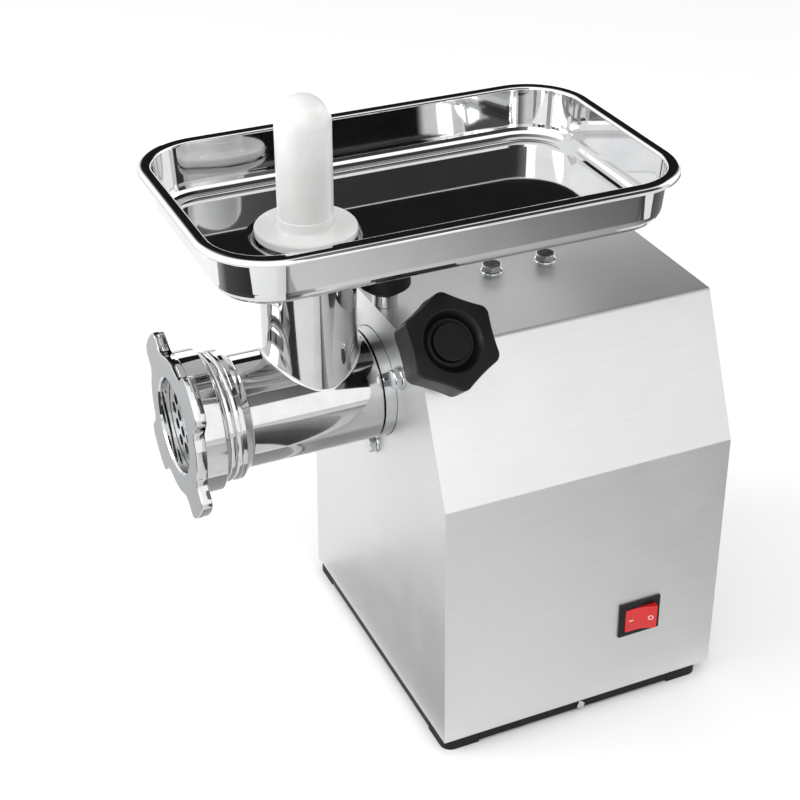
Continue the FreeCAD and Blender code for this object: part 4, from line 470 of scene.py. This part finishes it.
def make_barrel():
    """Barrel turned about its axis: collar with round thread crests, R - depth * (1 - |cos| ** THREAD_CREST), taper,
    tube, shank, and the bore back to the mouth. The neck's bore is cut out of it."""
    mouth, end = HEAD_LOW[1], HEAD_HIGH[1]
    collar_rear = TUBE_FRONT - COLLAR_TAPER
    along = np.linspace(mouth + THREAD_START, collar_rear - THREAD_STOP, 120)
    crest = np.abs(np.cos(np.pi * (along - mouth - THREAD_PITCH / 2) / THREAD_PITCH)) ** THREAD_CREST
    crests = np.stack([COLLAR_R - THREAD_DEPTH * (1 - crest), along], -1)
    outside = rounded([
        (COLLAR_R, collar_rear - 2.8 * MM, 0),
        (COLLAR_R, collar_rear, 0.6 * MM),
        (TUBE_R, TUBE_FRONT, 1.5 * MM),
        (TUBE_R, TUBE_REAR, 2 * MM),
        (SHANK_R, TUBE_REAR, 0),
        (SHANK_R, end, 1.5 * MM),
        (JOURNAL_R, end, 0.5 * MM),
        (JOURNAL_R, TUBE_REAR - REAR_WALL, 0),
        (BORE_R, TUBE_REAR - REAR_WALL, 0),
        (BORE_R, mouth + PLATE_SEAT, 0),
        (PLATE_SEAT_R, mouth + PLATE_SEAT, 0),
        (PLATE_SEAT_R, mouth, 0.5 * MM),
        (COLLAR_R - THREAD_DEPTH - 0.4 * MM, mouth, 0)])
    body = skin(turned(np.vstack([crests, outside]), BARREL, Y, X, 160), True)
    barrel = piece("barrel", [body], POLISHED_CAST, "head", ["grinding_head"], BARREL_SHARP)
    low, high = BARREL[2], BARREL[2] + NECK_BORE_TOP
    plug = turned([(0, low), (NECK_BORE_R, low), (NECK_BORE_R, high), (0, high)], NECK, Z, X, 96)
    cutter = piece("neck_cutter", [skin(plug)], POLISHED_CAST, "head")
    cut = barrel.modifiers.new("neck bore", "BOOLEAN")
    cut.operation = "DIFFERENCE"
    cut.object = cutter
    cut.solver = "EXACT"
    bpy.context.view_layer.update()
    finished = bpy.data.meshes.new_from_object(barrel.evaluated_get(bpy.context.evaluated_depsgraph_get()))
    barrel.modifiers.clear()
    barrel.data = finished
    finished.shade_smooth()
    finished.set_sharp_from_angle(angle=math.radians(BARREL_SHARP))
    bpy.data.objects.remove(cutter)


def make_neck(columns=160, steps=12):
    """Feed neck with a rolling-ball fillet onto the barrel. The ball's middle lies NECK_R + f from the neck's axis and
    TUBE_R + f from the barrel's, and its arc runs between the directions towards the two axes. The foot is sunk into
    the barrel's wall, and the bore ends where it meets the barrel's."""
    f = NECK_FILLET
    a = 2 * np.pi * np.arange(columns) / columns
    out = np.stack([np.cos(a), np.sin(a), np.zeros(columns)], -1)
    x = (NECK_R + f) * np.cos(a)
    middle = NECK + (NECK_R + f) * out
    middle[:, 2] = BARREL[2] + np.sqrt((TUBE_R + f) ** 2 - x ** 2)
    to_barrel = np.stack([-x, np.zeros(columns), BARREL[2] - middle[:, 2]], -1) / (TUBE_R + f)
    to_neck = -out
    turn = np.arccos(np.clip((to_barrel * to_neck).sum(1), -1, 1))[:, None]
    t = np.linspace(0, 1, steps)[:, None, None]
    way = (to_barrel * np.sin((1 - t) * turn) + to_neck * np.sin(t * turn)) / np.sin(turn)
    sunk = middle + to_barrel * (f + NECK_SINK)
    seam = middle + f * way
    wall = rounded([
        (NECK_R, NECK_TOP - SPIGOT - NECK_SHOULDER, 0),
        (NECK_R, NECK_TOP - SPIGOT, 0.5 * MM),
        (SPIGOT_R, NECK_TOP - SPIGOT, 0.3 * MM),
        (SPIGOT_R, NECK_TOP, 0.8 * MM),
        (NECK_BORE_R, NECK_TOP, 1.0 * MM),
        (NECK_BORE_R, NECK_TOP - SPIGOT, 0)])
    upper = turned(wall, NECK, Z, X, columns)
    deep = NECK + NECK_BORE_R * out
    deep[:, 2] = BARREL[2] + np.sqrt(BORE_R ** 2 - (NECK_BORE_R * np.cos(a)) ** 2)
    inside = deep + (sunk - deep) * 0.5
    inside[:, 2] -= 1 * MM
    rows = np.concatenate([sunk[None], seam, upper, deep[None], inside[None]])
    piece("feed_neck", [skin(rows, True)], POLISHED_CAST, "head", (), sharp=40)


NUT_PLATE = 7.3 * MM
NUT_BODY_R = 48.0 * MM
NUT_BORE_R = 44.15 * MM
NUT_OPENING_R = 31.8 * MM
NUT_VALLEY_R = 48.5 * MM
LUG_TIP_R = 62.7 * MM
LUG_HALF = 17.0 * MM
LUG_CORNER = 6.0 * MM
LUG_ROOT = 9.0 * MM
LUGS = 4
# Angles, in radians, that the points on the valleys and tips keep from the rounded corners.
VALLEY_MARGIN = 0.28
TIP_MARGIN = 0.12
NUT_EDGE = 0.7 * MM
NUT_MOUTH = 1.2 * MM
NUT_BORE_EDGE = 0.6 * MM


def nut_outline():
    """Lug outline in the plane across the barrel: a valley arc, then a lug with rounded root and tip, for each lug."""
    quarter = 2 * np.pi / LUGS
    root = np.arcsin(LUG_HALF / NUT_VALLEY_R)
    tip = np.arcsin(LUG_HALF / LUG_TIP_R)
    plan = [(NUT_VALLEY_R, a, 0) for a in np.linspace(root - quarter + VALLEY_MARGIN, -root - VALLEY_MARGIN, 7)]
    plan += [(NUT_VALLEY_R, -root, LUG_ROOT), (LUG_TIP_R, -tip, LUG_CORNER)]
    plan += [(LUG_TIP_R, a, 0) for a in np.linspace(TIP_MARGIN - tip, tip - TIP_MARGIN, 5)]
    plan += [(LUG_TIP_R, tip, LUG_CORNER), (NUT_VALLEY_R, root, LUG_ROOT)]
    radius, angle, arc = np.array(plan).T
    turns = quarter * (np.arange(LUGS) + 0.5)
    angle = (angle[None] + turns[:, None]).ravel()
    radius, arc = np.tile(radius, LUGS), np.tile(arc, LUGS)
    return rounded(np.stack([radius * np.cos(angle), radius * np.sin(angle), arc], -1), True, 9)


def make_ring_nut():
    """Ring nut as one closed skin of loops: opening, face with broken edges, lug outline, skirt and threaded bore.
    The circles' points are spread round by the outline's own length, so that the faces between stay whole."""
    outline = nut_outline()
    step = np.linalg.norm(outline - np.roll(outline, 1, 0), axis=1)
    share = np.cumsum(step) / step.sum() * 2 * np.pi
    start = np.arctan2(outline[0, 1], outline[0, 0]) - share[0]
    circle = np.stack([np.cos(share + start), np.sin(share + start)], -1)
    way = outline / np.linalg.norm(outline, axis=1, keepdims=True)
    face, rear = NUT_LOW[1], NUT_HIGH[1]
    seat = face + NUT_PLATE
    edge = NUT_EDGE
    rows = [
        (circle * NUT_OPENING_R, seat),
        (circle * NUT_OPENING_R, face + NUT_MOUTH),
        (circle * (NUT_OPENING_R + NUT_MOUTH), face),
        (circle * (NUT_OPENING_R + 2 * MM), face),
        (outline - way * 2 * edge, face),
        (outline - way * edge, face),
        (outline - way * 0.2 * MM, face + 0.25 * MM),
        (outline, face + edge),
        (outline, seat - edge),
        (outline - way * 0.2 * MM, seat - 0.25 * MM),
        (outline - way * edge, seat),
        (circle * NUT_BODY_R, seat),
        (circle * NUT_BODY_R, seat + 0.4 * MM),
        (circle * NUT_BODY_R, rear - 1 * MM),
        (circle * (NUT_BODY_R - 1 * MM), rear),
        (circle * (NUT_BORE_R + NUT_BORE_EDGE), rear),
        (circle * NUT_BORE_R, rear - NUT_BORE_EDGE),
        (circle * NUT_BORE_R, seat)]
    points = np.stack([np.stack([p[:, 0], np.full(len(p), y), p[:, 1] + BARREL[2]], -1) for p, y in rows])

    def flat_face(centres, normals):
        """1 for the faces that lie in the ground front and look forwards, 0 for the others."""
        return (normals[:, 1] < -0.98) & (centres[:, 1] < face + 0.1 * MM)

    piece("ring_nut_lugged", [skin(points, True)], [POLISHED_CAST, GROUND_CAST], "ring_nut", ["ring_nut"],
          sharp=28, finish_of=flat_face)


# Clamp knob

KNOB_LOBES = 6
KNOB_TIP_R = 32.0 * MM
KNOB_VALLEY_R = 28.0 * MM
KNOB_LOBE_R = 6.5 * MM
KNOB_THICK = 23.0 * MM
KNOB_GAP = 5.3 * MM
KNOB_ROUND = 1.2 * MM
KNOB_MARGIN = 5.0 * MM
KNOB_RECESS_R = 20.0 * MM
KNOB_RECESS = 6.0 * MM
KNOB_RECESS_SLOPE = 4.5 * MM
KNOB_DISC_R = 12.2 * MM
KNOB_DISC_SLOPE = 0.6 * MM
KNOB_DISC_DROP = 1.2 * MM
KNOB_BACK_R = 12.0 * MM
STUD_R = 5.05 * MM
STUD_HOLE = 14.0 * MM


def knob_radius(angle):
    """Outline radius of the knob: circles of KNOB_LOBE_R at the lobes, joined by the hollow circles that touch both
    neighbours and the valley radius."""
    step = np.pi / KNOB_LOBES
    centre = KNOB_TIP_R - KNOB_LOBE_R
    near, aside = centre * np.cos(step), centre * np.sin(step)
    hollow = ((KNOB_VALLEY_R - near) ** 2 + aside ** 2 - KNOB_LOBE_R ** 2) / (2 * (KNOB_LOBE_R - KNOB_VALLEY_R + near))
    far = KNOB_VALLEY_R + hollow
    share = KNOB_LOBE_R / (KNOB_LOBE_R + hollow)
    touch = np.array([centre, 0]) + share * (far * np.array([np.cos(step), np.sin(step)]) - [centre, 0])
    limit = np.arctan2(touch[1], touch[0])
    a = np.abs((angle + step) % (2 * step) - step)
    lobe = centre * np.cos(a) + np.sqrt(np.maximum(KNOB_LOBE_R ** 2 - (centre * np.sin(a)) ** 2, 0))
    b = step - a
    valley = far * np.cos(b) - np.sqrt(np.maximum(hollow ** 2 - (far * np.sin(b)) ** 2, 0))
    return np.where(a <= limit, lobe, valley)


def clamp_frame():
    """Middle of the knob's back, and the two directions across its axis. The back lies KNOB_GAP off the slope, whose
    plane holds the roof's edge."""
    side = np.cross(Y, CLAMP_AXIS)
    bend = np.array([ROOF_HALF, 0, ROOF - BARREL[2]]) @ CLAMP_AXIS
    y = (KNOB_LOW[1] + KNOB_HIGH[1]) / 2
    back = np.array([0, y, BARREL[2]]) + CLAMP_AXIS * (bend + KNOB_GAP)
    return back, side, np.cross(CLAMP_AXIS, side)


def make_knob(columns=240):
    """Knob as loops along its axis: stud hole, back, round edges on the lobed outline, face and ring-shaped recess."""
    back, side, third = clamp_frame()
    a = 2 * np.pi * np.arange(columns) / columns
    ring = np.cos(a)[:, None] * side + np.sin(a)[:, None] * third
    inset, height = rounded([
        (KNOB_MARGIN, 0, 0),
        (0, 0, KNOB_ROUND),
        (0, KNOB_THICK, KNOB_ROUND),
        (KNOB_MARGIN, KNOB_THICK, 0)]).T
    lobed = knob_radius(a)[None] - inset[:, None]
    floor = KNOB_THICK - KNOB_RECESS
    disc = KNOB_THICK - KNOB_DISC_DROP
    face = rounded([
        (KNOB_RECESS_R + 1.5 * MM, KNOB_THICK, 0),
        (KNOB_RECESS_R, KNOB_THICK, 1.0 * MM),
        (KNOB_RECESS_R - KNOB_RECESS_SLOPE, floor, 1.2 * MM),
        (KNOB_DISC_R + KNOB_DISC_SLOPE, floor, 0.8 * MM),
        (KNOB_DISC_R, disc, 0.4 * MM),
        (0, disc, 0)])
    hole = np.array([(0, STUD_HOLE), (STUD_R, STUD_HOLE), (STUD_R, 0), (KNOB_BACK_R, 0)])
    radius = np.concatenate([np.repeat(hole[:, :1], columns, 1), lobed, np.repeat(face[:, :1], columns, 1)])
    along = np.concatenate([hole[:, 1], height, face[:, 1]])
    points = back + along[:, None, None] * CLAMP_AXIS + radius[:, :, None] * ring
    piece("clamp_knob_lobed", [skin(points)], BLACK_PLASTIC, "clamp_knob", ["clamp_knob"],
          sharp=40)


# Pusher and tray rest

PUSHER_FLANGE_R = 33.3 * MM
PUSHER_FLANGE = 6.8 * MM
PUSHER_SHAFT = 60.0 * MM
PUSHER_SHAFT_R = 25.2 * MM
PUSHER_HANDLE_R = 18.0 * MM
PUSHER_COLLAR = 7.0 * MM
PUSHER_COLLAR_R = 18.7 * MM
REST_FOOT_R = 9.5 * MM
REST_FLARE = 6.0 * MM
REST_TOP_R = 15.0 * MM
STUB_PIN_R = 4.0 * MM
STUB_HEAD_R = 8.5 * MM


def make_pusher():
    """Pusher turned about its axis: chamfered shaft, rounded flange, low collar, handle and hemispherical top."""
    seat = PUSHER_LOW[2] + PUSHER_SHAFT
    above = seat + PUSHER_FLANGE
    dome = PUSHER_HIGH[2] - PUSHER_HANDLE_R
    lower = rounded([
        (0, PUSHER_LOW[2], 0),
        (PUSHER_SHAFT_R, PUSHER_LOW[2], 4 * MM),
        (PUSHER_SHAFT_R, seat, 0.5 * MM),
        (PUSHER_FLANGE_R, seat, 2.0 * MM),
        (PUSHER_FLANGE_R, above, 2.2 * MM),
        (PUSHER_COLLAR_R, above, 1.2 * MM),
        (PUSHER_COLLAR_R, above + PUSHER_COLLAR, 0.6 * MM),
        (PUSHER_HANDLE_R, above + PUSHER_COLLAR + 0.3 * MM, 0.3 * MM),
        (PUSHER_HANDLE_R, dome, 0)])
    a = np.linspace(0, np.pi / 2, 24)[1:]
    top = np.stack([PUSHER_HANDLE_R * np.cos(a), dome + PUSHER_HANDLE_R * np.sin(a)], -1)
    piece("pusher_stomper", [skin(turned(np.vstack([lower, top]), NECK, Z, X))], WHITE_PLASTIC, "pusher", ["pusher"],
          sharp=50)


def make_tray_rest():
    """Rubber post turned about its axis, flared above its bright stub. The stub's pin goes through the roof."""
    middle = np.array([0, (CAP_LOW[1] + CAP_HIGH[1]) / 2, 0])
    wide = CAP_HIGH[0]
    cap = rounded([
        (0, CAP_LOW[2], 0),
        (REST_FOOT_R, CAP_LOW[2], 1 * MM),
        (wide, CAP_LOW[2] + REST_FLARE, 2 * MM),
        (REST_TOP_R, CAP_HIGH[2], 1.5 * MM),
        (0, CAP_HIGH[2], 0)])
    piece("tray_rest_post", [skin(turned(cap, middle, Z, X, 96))], BLACK_RUBBER, "frame", ["rest_cap"])
    stub = rounded([
        (0, STUB_LOW[2], 0),
        (STUB_PIN_R, STUB_LOW[2], 0.5 * MM),
        (STUB_PIN_R, ROOF, 0),
        (STUB_HEAD_R, ROOF, 0.4 * MM),
        (STUB_HEAD_R, STUB_HIGH[2], 0.8 * MM),
        (0, STUB_HIGH[2], 0)])
    piece("tray_rest_stub", [skin(turned(stub, middle, Z, X, 96))], POLISHED_CAST, "frame", ["rest_stub"])


# Hex bolts

BOLT_FLATS = 13.0 * MM
BOLT_HEAD = 6.0 * MM
BOLT_WASHER_R = 8.0 * MM
BOLT_WASHER = 1.9 * MM
BOLT_R = 4.0 * MM
BOLT_SHARP = 25
SOCKET_BOLT_CIRCLE_R = 50.0 * MM
SOCKET_BOLT_ANGLES = (30, 150, 270)


def bolt(foot, axis, side, shank, columns=96):
    """Flanged hex bolt. The head's radius is the lesser of the hexagon's, flats / 2 / cos(angle from the flat's
    middle), and that of a turned plan, which leaves the chamfer on its top."""
    a = 2 * np.pi * np.arange(columns) / columns
    hexagon = BOLT_FLATS / 2 / np.cos((a + np.pi / 6) % (np.pi / 3) - np.pi / 6)
    ring = np.cos(a)[:, None] * side + np.sin(a)[:, None] * np.cross(axis, side)
    plan = [
        (0, BOLT_HEAD), (5.2 * MM, BOLT_HEAD), (6.1 * MM, BOLT_HEAD), (6.9 * MM, BOLT_HEAD - 0.45 * MM),
        (7.6 * MM, BOLT_HEAD - 0.9 * MM), (9 * MM, BOLT_HEAD - 1.8 * MM), (9 * MM, BOLT_WASHER)]
    head = np.stack([np.minimum(hexagon, r) for r, _ in plan])
    flange = rounded([
        (6.2 * MM, BOLT_WASHER, 0),
        (BOLT_WASHER_R - 0.3 * MM, 1.4 * MM, 0.5 * MM),
        (BOLT_WASHER_R, 0.2 * MM, 0.3 * MM),
        (BOLT_WASHER_R - 0.3 * MM, 0, 0),
        (BOLT_R, 0, 0),
        (BOLT_R, -shank, 0.4 * MM),
        (0, -shank, 0)], steps=4)
    radius = np.concatenate([head, np.repeat(flange[:, :1], columns, 1)])
    along = np.concatenate([[z for _, z in plan], flange[:, 1]])
    return skin(foot + along[:, None, None] * axis + radius[:, :, None] * ring)


def make_bolts():
    """The two roof bolts and the three round the socket, each group in the place of its solids."""
    low, high = corners("roof_bolts")
    x = (low[0] + high[0]) / 2
    ends = (low[1] + BOLT_WASHER_R, high[1] - BOLT_WASHER_R)
    skins = [bolt(np.array([x, y, ROOF]), Z, X, ROOF - low[2]) for y in ends]
    piece("roof_bolts_flanged", skins, BRIGHT_ZINC, "frame", ["roof_bolts"], BOLT_SHARP)
    shank = corners("front_bolts")[1][1] - FRONT
    skins = []
    for angle in np.radians(SOCKET_BOLT_ANGLES):
        foot = BARREL + SOCKET_BOLT_CIRCLE_R * np.array([np.cos(angle), 0, np.sin(angle)]) + FRONT * Y
        skins.append(bolt(foot, -Y, X, shank))
    piece("socket_bolts_flanged", skins, BRIGHT_ZINC, "frame", ["front_bolts"], BOLT_SHARP)


# Switch rocker and its marks

ROCKER_HALF = 9.4 * MM
ROCKER_MIDDLE = 2.9 * MM
ROCKER_END = 4.75 * MM
ROCKER_REACH = 11.85 * MM
ROCKER_BELLY = 12.6 * MM
ROCKER_FOOT = 11.2 * MM
ROCKER_DEPTH = 5.4 * MM
ROCKER_EDGE = 0.6 * MM
MARK_PLACE = 7.4 * MM
MARK_PROUD = 0.1 * MM
MARK_SUNK = -0.15 * MM
RING_INNER_R = 1.35 * MM
RING_OUTER_R = 2.0 * MM
DASH_HALF = 1.7 * MM
DASH_THICK = 0.45 * MM
DASH_ROUND = 0.4 * MM


def rocker_frame():
    """Directions of the rocker at rest: along its face, up, and out of the side, tilted with the rear end out."""
    up = ROCKER_AXIS
    out = np.cross(Y, up)
    along = np.cos(ROCKER_TILT) * Y + np.sin(ROCKER_TILT) * out
    return along, up, np.cos(ROCKER_TILT) * out - np.sin(ROCKER_TILT) * Y


def make_rocker():
    """Rocker as loops along its height: a V-faced outline with round edges, drawn in at both ends."""
    along, up, out = rocker_frame()
    outline = rounded([
        (-ROCKER_REACH, ROCKER_END, 0.8 * MM),
        (0, ROCKER_MIDDLE, 14 * MM),
        (ROCKER_REACH, ROCKER_END, 0.8 * MM),
        (ROCKER_BELLY, 0, 3 * MM),
        (ROCKER_FOOT, -ROCKER_DEPTH, 1 * MM),
        (-ROCKER_FOOT, -ROCKER_DEPTH, 1 * MM),
        (-ROCKER_BELLY, 0, 3 * MM)], True)
    middle = np.array([0, -1.0 * MM])
    way = middle - outline
    way = way / np.linalg.norm(way, axis=1, keepdims=True)
    pole = np.tile(middle, (len(outline), 1))
    e, h = ROCKER_EDGE, ROCKER_HALF
    rows = [
        (pole, -h),
        (outline + way * 2 * e, -h),
        (outline + way * e, -h),
        (outline + way * 0.3 * e, -h + 0.3 * e),
        (outline, -h + e),
        (outline, h - e),
        (outline + way * 0.3 * e, h - 0.3 * e),
        (outline + way * e, h),
        (outline + way * 2 * e, h),
        (pole, h)]
    points = np.stack([ROCKER_PIVOT + p[:, :1] * along + p[:, 1:] * out + v * up for p, v in rows])
    piece("rocker_v_face", [skin(points)], RED_PLASTIC, "switch_rocker", ["switch_rocker"],
          sharp=40)


def make_marks():
    """Printed dash on the pressed end and ring on the raised end: flat bands MARK_PROUD above the rocker's face,
    with edges that go down into it."""
    along, up, out = rocker_frame()
    slope = math.atan2(ROCKER_END - ROCKER_MIDDLE, ROCKER_REACH)

    def on_face(s, v, lift):
        """Points s along and v up the V-shaped face, lifted off it: w = middle + |s| * tan(slope) + lift."""
        w = ROCKER_MIDDLE + np.abs(s) * np.tan(slope) + lift
        return ROCKER_PIVOT + s[..., None] * along + v[..., None] * up + w[..., None] * out

    a = np.linspace(0, 2 * np.pi, 64, endpoint=False)
    band = ((RING_INNER_R, MARK_SUNK), (RING_INNER_R, MARK_PROUD),
            (RING_OUTER_R, MARK_PROUD), (RING_OUTER_R, MARK_SUNK))
    ring = np.stack([on_face(MARK_PLACE + r * np.cos(a), r * np.sin(a), np.full(len(a), lift)) for r, lift in band])
    turns = ((-1, -1), (1, -1), (1, 1), (-1, 1))
    bar = rounded([(s * DASH_HALF, v * DASH_THICK, DASH_ROUND) for s, v in turns], True, 5)
    cover = ((0, MARK_PROUD), (1, MARK_PROUD), (1, MARK_SUNK), (0, MARK_SUNK))
    dash = np.stack([on_face(k * bar[:, 0] - MARK_PLACE, k * bar[:, 1], np.full(len(bar), lift)) for k, lift in cover])
    piece("rocker_marks", [skin(ring, True), skin(dash, True)], PALE_INK, "switch_rocker", ())


# Stage

CAMERA_PLACE = (0.8889, -0.42285, 0.8181)
CAMERA_AZIMUTH = 65.79
CAMERA_ELEVATION = 31.51
CAMERA_LENS = 74.0
CAMERA_FILM = 36.0
FLOOR_HALF = 6.0
# Brightness of the room, of the dome that reflections show, and of the dome's dim patches, with the ways to them.
ROOM_LEVEL = 0.89
STUDIO_LEVEL = 1.6
DIM_LEVEL = 0.015
DIM_WAYS = ((-0.785, 0.42, 0.46), (-0.35, 0.3, 0.89))
DIM_EDGE, DIM_CORE = 0.7, 0.93
DOME_RADIUS = 7.0
# Name, place, point that it faces, width, height and watts.
LIGHTS = (
    ("key", (1.4, -0.6, 1.5), (0, 0, 0.2), 1.2, 1.2, 3),
    ("fill", (-0.4, -1.8, 1.0), (0, 0, 0.2), 1.4, 1.0, 20),
    ("strip", (0.4, 1.4, 1.3), (0, 0, 0.3), 1.6, 0.5, 3),
)
# Name, middle, half side along the stops, other half side, stops and levels.
CARDS = (
    ("card_right", (0.85, 0.45, 0.003), (0, 0.65, 0), (0.35, 0, 0), (0, 0.27, 0.42, 0.6, 1),
     (1.1, 0.7, 0.3, 0.06, 0.03)),
    ("card_back", (-0.05, 1.15, 0.003), (0.55, 0, 0), (0, 0.6, 0), (0, 1), (0.3, 0.04)),
    ("card_high", (0.3, 0.22, 0.62), (0, 0.28, 0), (0, 0, 0.17), (0, 0.3, 1), (0.3, 0.06, 0.05)),
    ("card_roof", (-0.35, 0.3, 0.375), (0, 0.4, 0), (0, 0, 0.075), (0, 1), (1.9, 1.9)),
    ("card_front", (0.02, -0.82, 0.003), (0.36, 0, 0), (0, 0.42, 0), (0, 0.3, 1), (0.5, 0.1, 0.04)),
    ("card_edge", (0.29, -0.05, 0.105), (0, 0, 0.1), (0.165, 0, 0), (0, 0.6, 1), (0.05, 0.15, 0.5)),
    ("card_low", (0, -0.12, 0.003), (0.115, 0, 0), (0, 0.07, 0), (0, 1), (0.55, 0.4)),
    ("card_rear", (0.85, 0.62, 0.45), (0.65, 0, 0), (0, 0, 0.45), (0, 1), (1.05, 1.05)),
    ("card_side", (0.32, 0.2, 0.003), (0, 0.42, 0), (0.18, 0, 0), (0, 0.3, 1), (1.15, 0.9, 0.1)),
)


def make_camera():
    """Camera at the photograph's place and angle."""
    data = bpy.data.cameras.new("camera")
    data.lens = CAMERA_LENS
    data.sensor_width = CAMERA_FILM
    made = bpy.data.objects.new("camera", data)
    made.location = CAMERA_PLACE
    made.rotation_euler = (math.radians(90 - CAMERA_ELEVATION), 0, math.radians(CAMERA_AZIMUTH))
    bpy.context.scene.collection.objects.link(made)
    bpy.context.scene.camera = made


def open_sheet(name, points, finish):
    """Object of an open grid of points, in one finish."""
    rows, columns = points.shape[:2]
    index = np.arange(rows * columns).reshape(rows, columns)
    mesh = bpy.data.meshes.new(name)
    mesh.from_pydata(points.reshape(-1, 3).tolist(), [], quads_between(index).tolist())
    mesh.materials.append(finish)
    made = bpy.data.objects.new(name, mesh)
    bpy.context.scene.collection.objects.link(made)
    return made


def make_floor(steps=13):
    """Plain pale floor, flat and square."""
    paper, tree = blank("floor_pale_paper")
    close(tree, Base_Color=linear("#FBFBFB"), Roughness=0.9)
    t = np.linspace(-FLOOR_HALF, FLOOR_HALF, steps)
    x, y = np.meshgrid(t, t, indexing="ij")
    floor = open_sheet("floor", np.stack([x, y, np.zeros_like(x)], -1), paper)


def soft_light(name, place, aim, width, height, power):
    """Large soft box at a place, facing a point."""
    data = bpy.data.lights.new(name, "AREA")
    data.shape = "RECTANGLE"
    data.size, data.size_y = width, height
    data.energy = power
    made = bpy.data.objects.new(name, data)
    way = np.array(aim) - np.array(place)
    made.location = place
    made.rotation_euler = (math.atan2(math.hypot(way[0], way[1]), -way[2]), 0, math.atan2(-way[0], way[1]))
    bpy.context.scene.collection.objects.link(made)


def make_world():
    """Evenly white studio, for the floor, the background and the light on the plastics."""
    world = bpy.data.worlds.new("studio")
    bpy.context.scene.world = world
    world.use_nodes = True
    back = world.node_tree.nodes["Background"]
    back.inputs["Color"].default_value = (1, 1, 1, 1)
    back.inputs["Strength"].default_value = ROOM_LEVEL


def reflector(name, points, levels):
    """Sheet over a grid of points that only reflections show, glowing with a level at each point."""
    finish, tree = blank(name)
    level = add(tree, "ShaderNodeAttribute", attribute_name="level").outputs["Fac"]
    glow = add(tree, "ShaderNodeEmission", {"Strength": level})
    add(tree, "ShaderNodeOutputMaterial", {"Surface": glow.outputs["Emission"]})
    sheet = open_sheet(name, points, finish)
    sheet.data.attributes.new("level", "FLOAT", "POINT").data.foreach_set("value", levels.ravel())
    for seen in ("camera", "diffuse", "shadow", "transmission", "volume_scatter"):
        setattr(sheet, "visible_" + seen, False)


def make_dome(turns=145, rises=49):
    """Half sphere round the studio, dim behind and above the machine. A way's nearness is the largest of its products
    with the dim ways. Its level goes from STUDIO_LEVEL to DIM_LEVEL by a smooth step, 3 s^2 - 2 s^3, as the nearness
    goes from DIM_EDGE to DIM_CORE."""
    turn, rise = np.meshgrid(np.linspace(0, 2 * np.pi, turns), np.linspace(0, np.pi / 2, rises), indexing="ij")
    way = np.stack([np.cos(rise) * np.cos(turn), np.cos(rise) * np.sin(turn), np.sin(rise)], -1)
    near = (way @ np.array(DIM_WAYS).T).max(-1)
    share = np.clip((near - DIM_EDGE) / (DIM_CORE - DIM_EDGE), 0, 1)
    levels = STUDIO_LEVEL + (DIM_LEVEL - STUDIO_LEVEL) * share ** 2 * (3 - 2 * share)
    reflector("dome", DOME_RADIUS * way, levels)


def make_cards(steps=41):
    """Cards round the machine, for the dark and bright bands in the tray, the head and the roof. A card's points are
    middle + u * across + v * up, u and v from -1 to 1, and its level runs along u through its stops."""
    u, v = np.meshgrid(np.linspace(-1, 1, steps), np.linspace(-1, 1, 3), indexing="ij")
    for name, middle, across, up, stops, levels in CARDS:
        points = np.array(middle) + u[..., None] * np.array(across) + v[..., None] * np.array(up)
        reflector(name, points, np.interp((u + 1) / 2, stops, levels))


def make_lights():
    """Key from the right front, fill from the left front, and a strip above the rear. Colours are shown unchanged."""
    for light in LIGHTS:
        soft_light(*light)
    bpy.context.scene.view_settings.view_transform = "Standard"


dress_solids()
make_tray()
make_barrel()
make_neck()
make_ring_nut()
make_knob()
make_pusher()
make_tray_rest()
make_bolts()
make_rocker()
make_marks()
make_camera()
make_floor()
make_world()
make_lights()
make_dome()
make_cards()
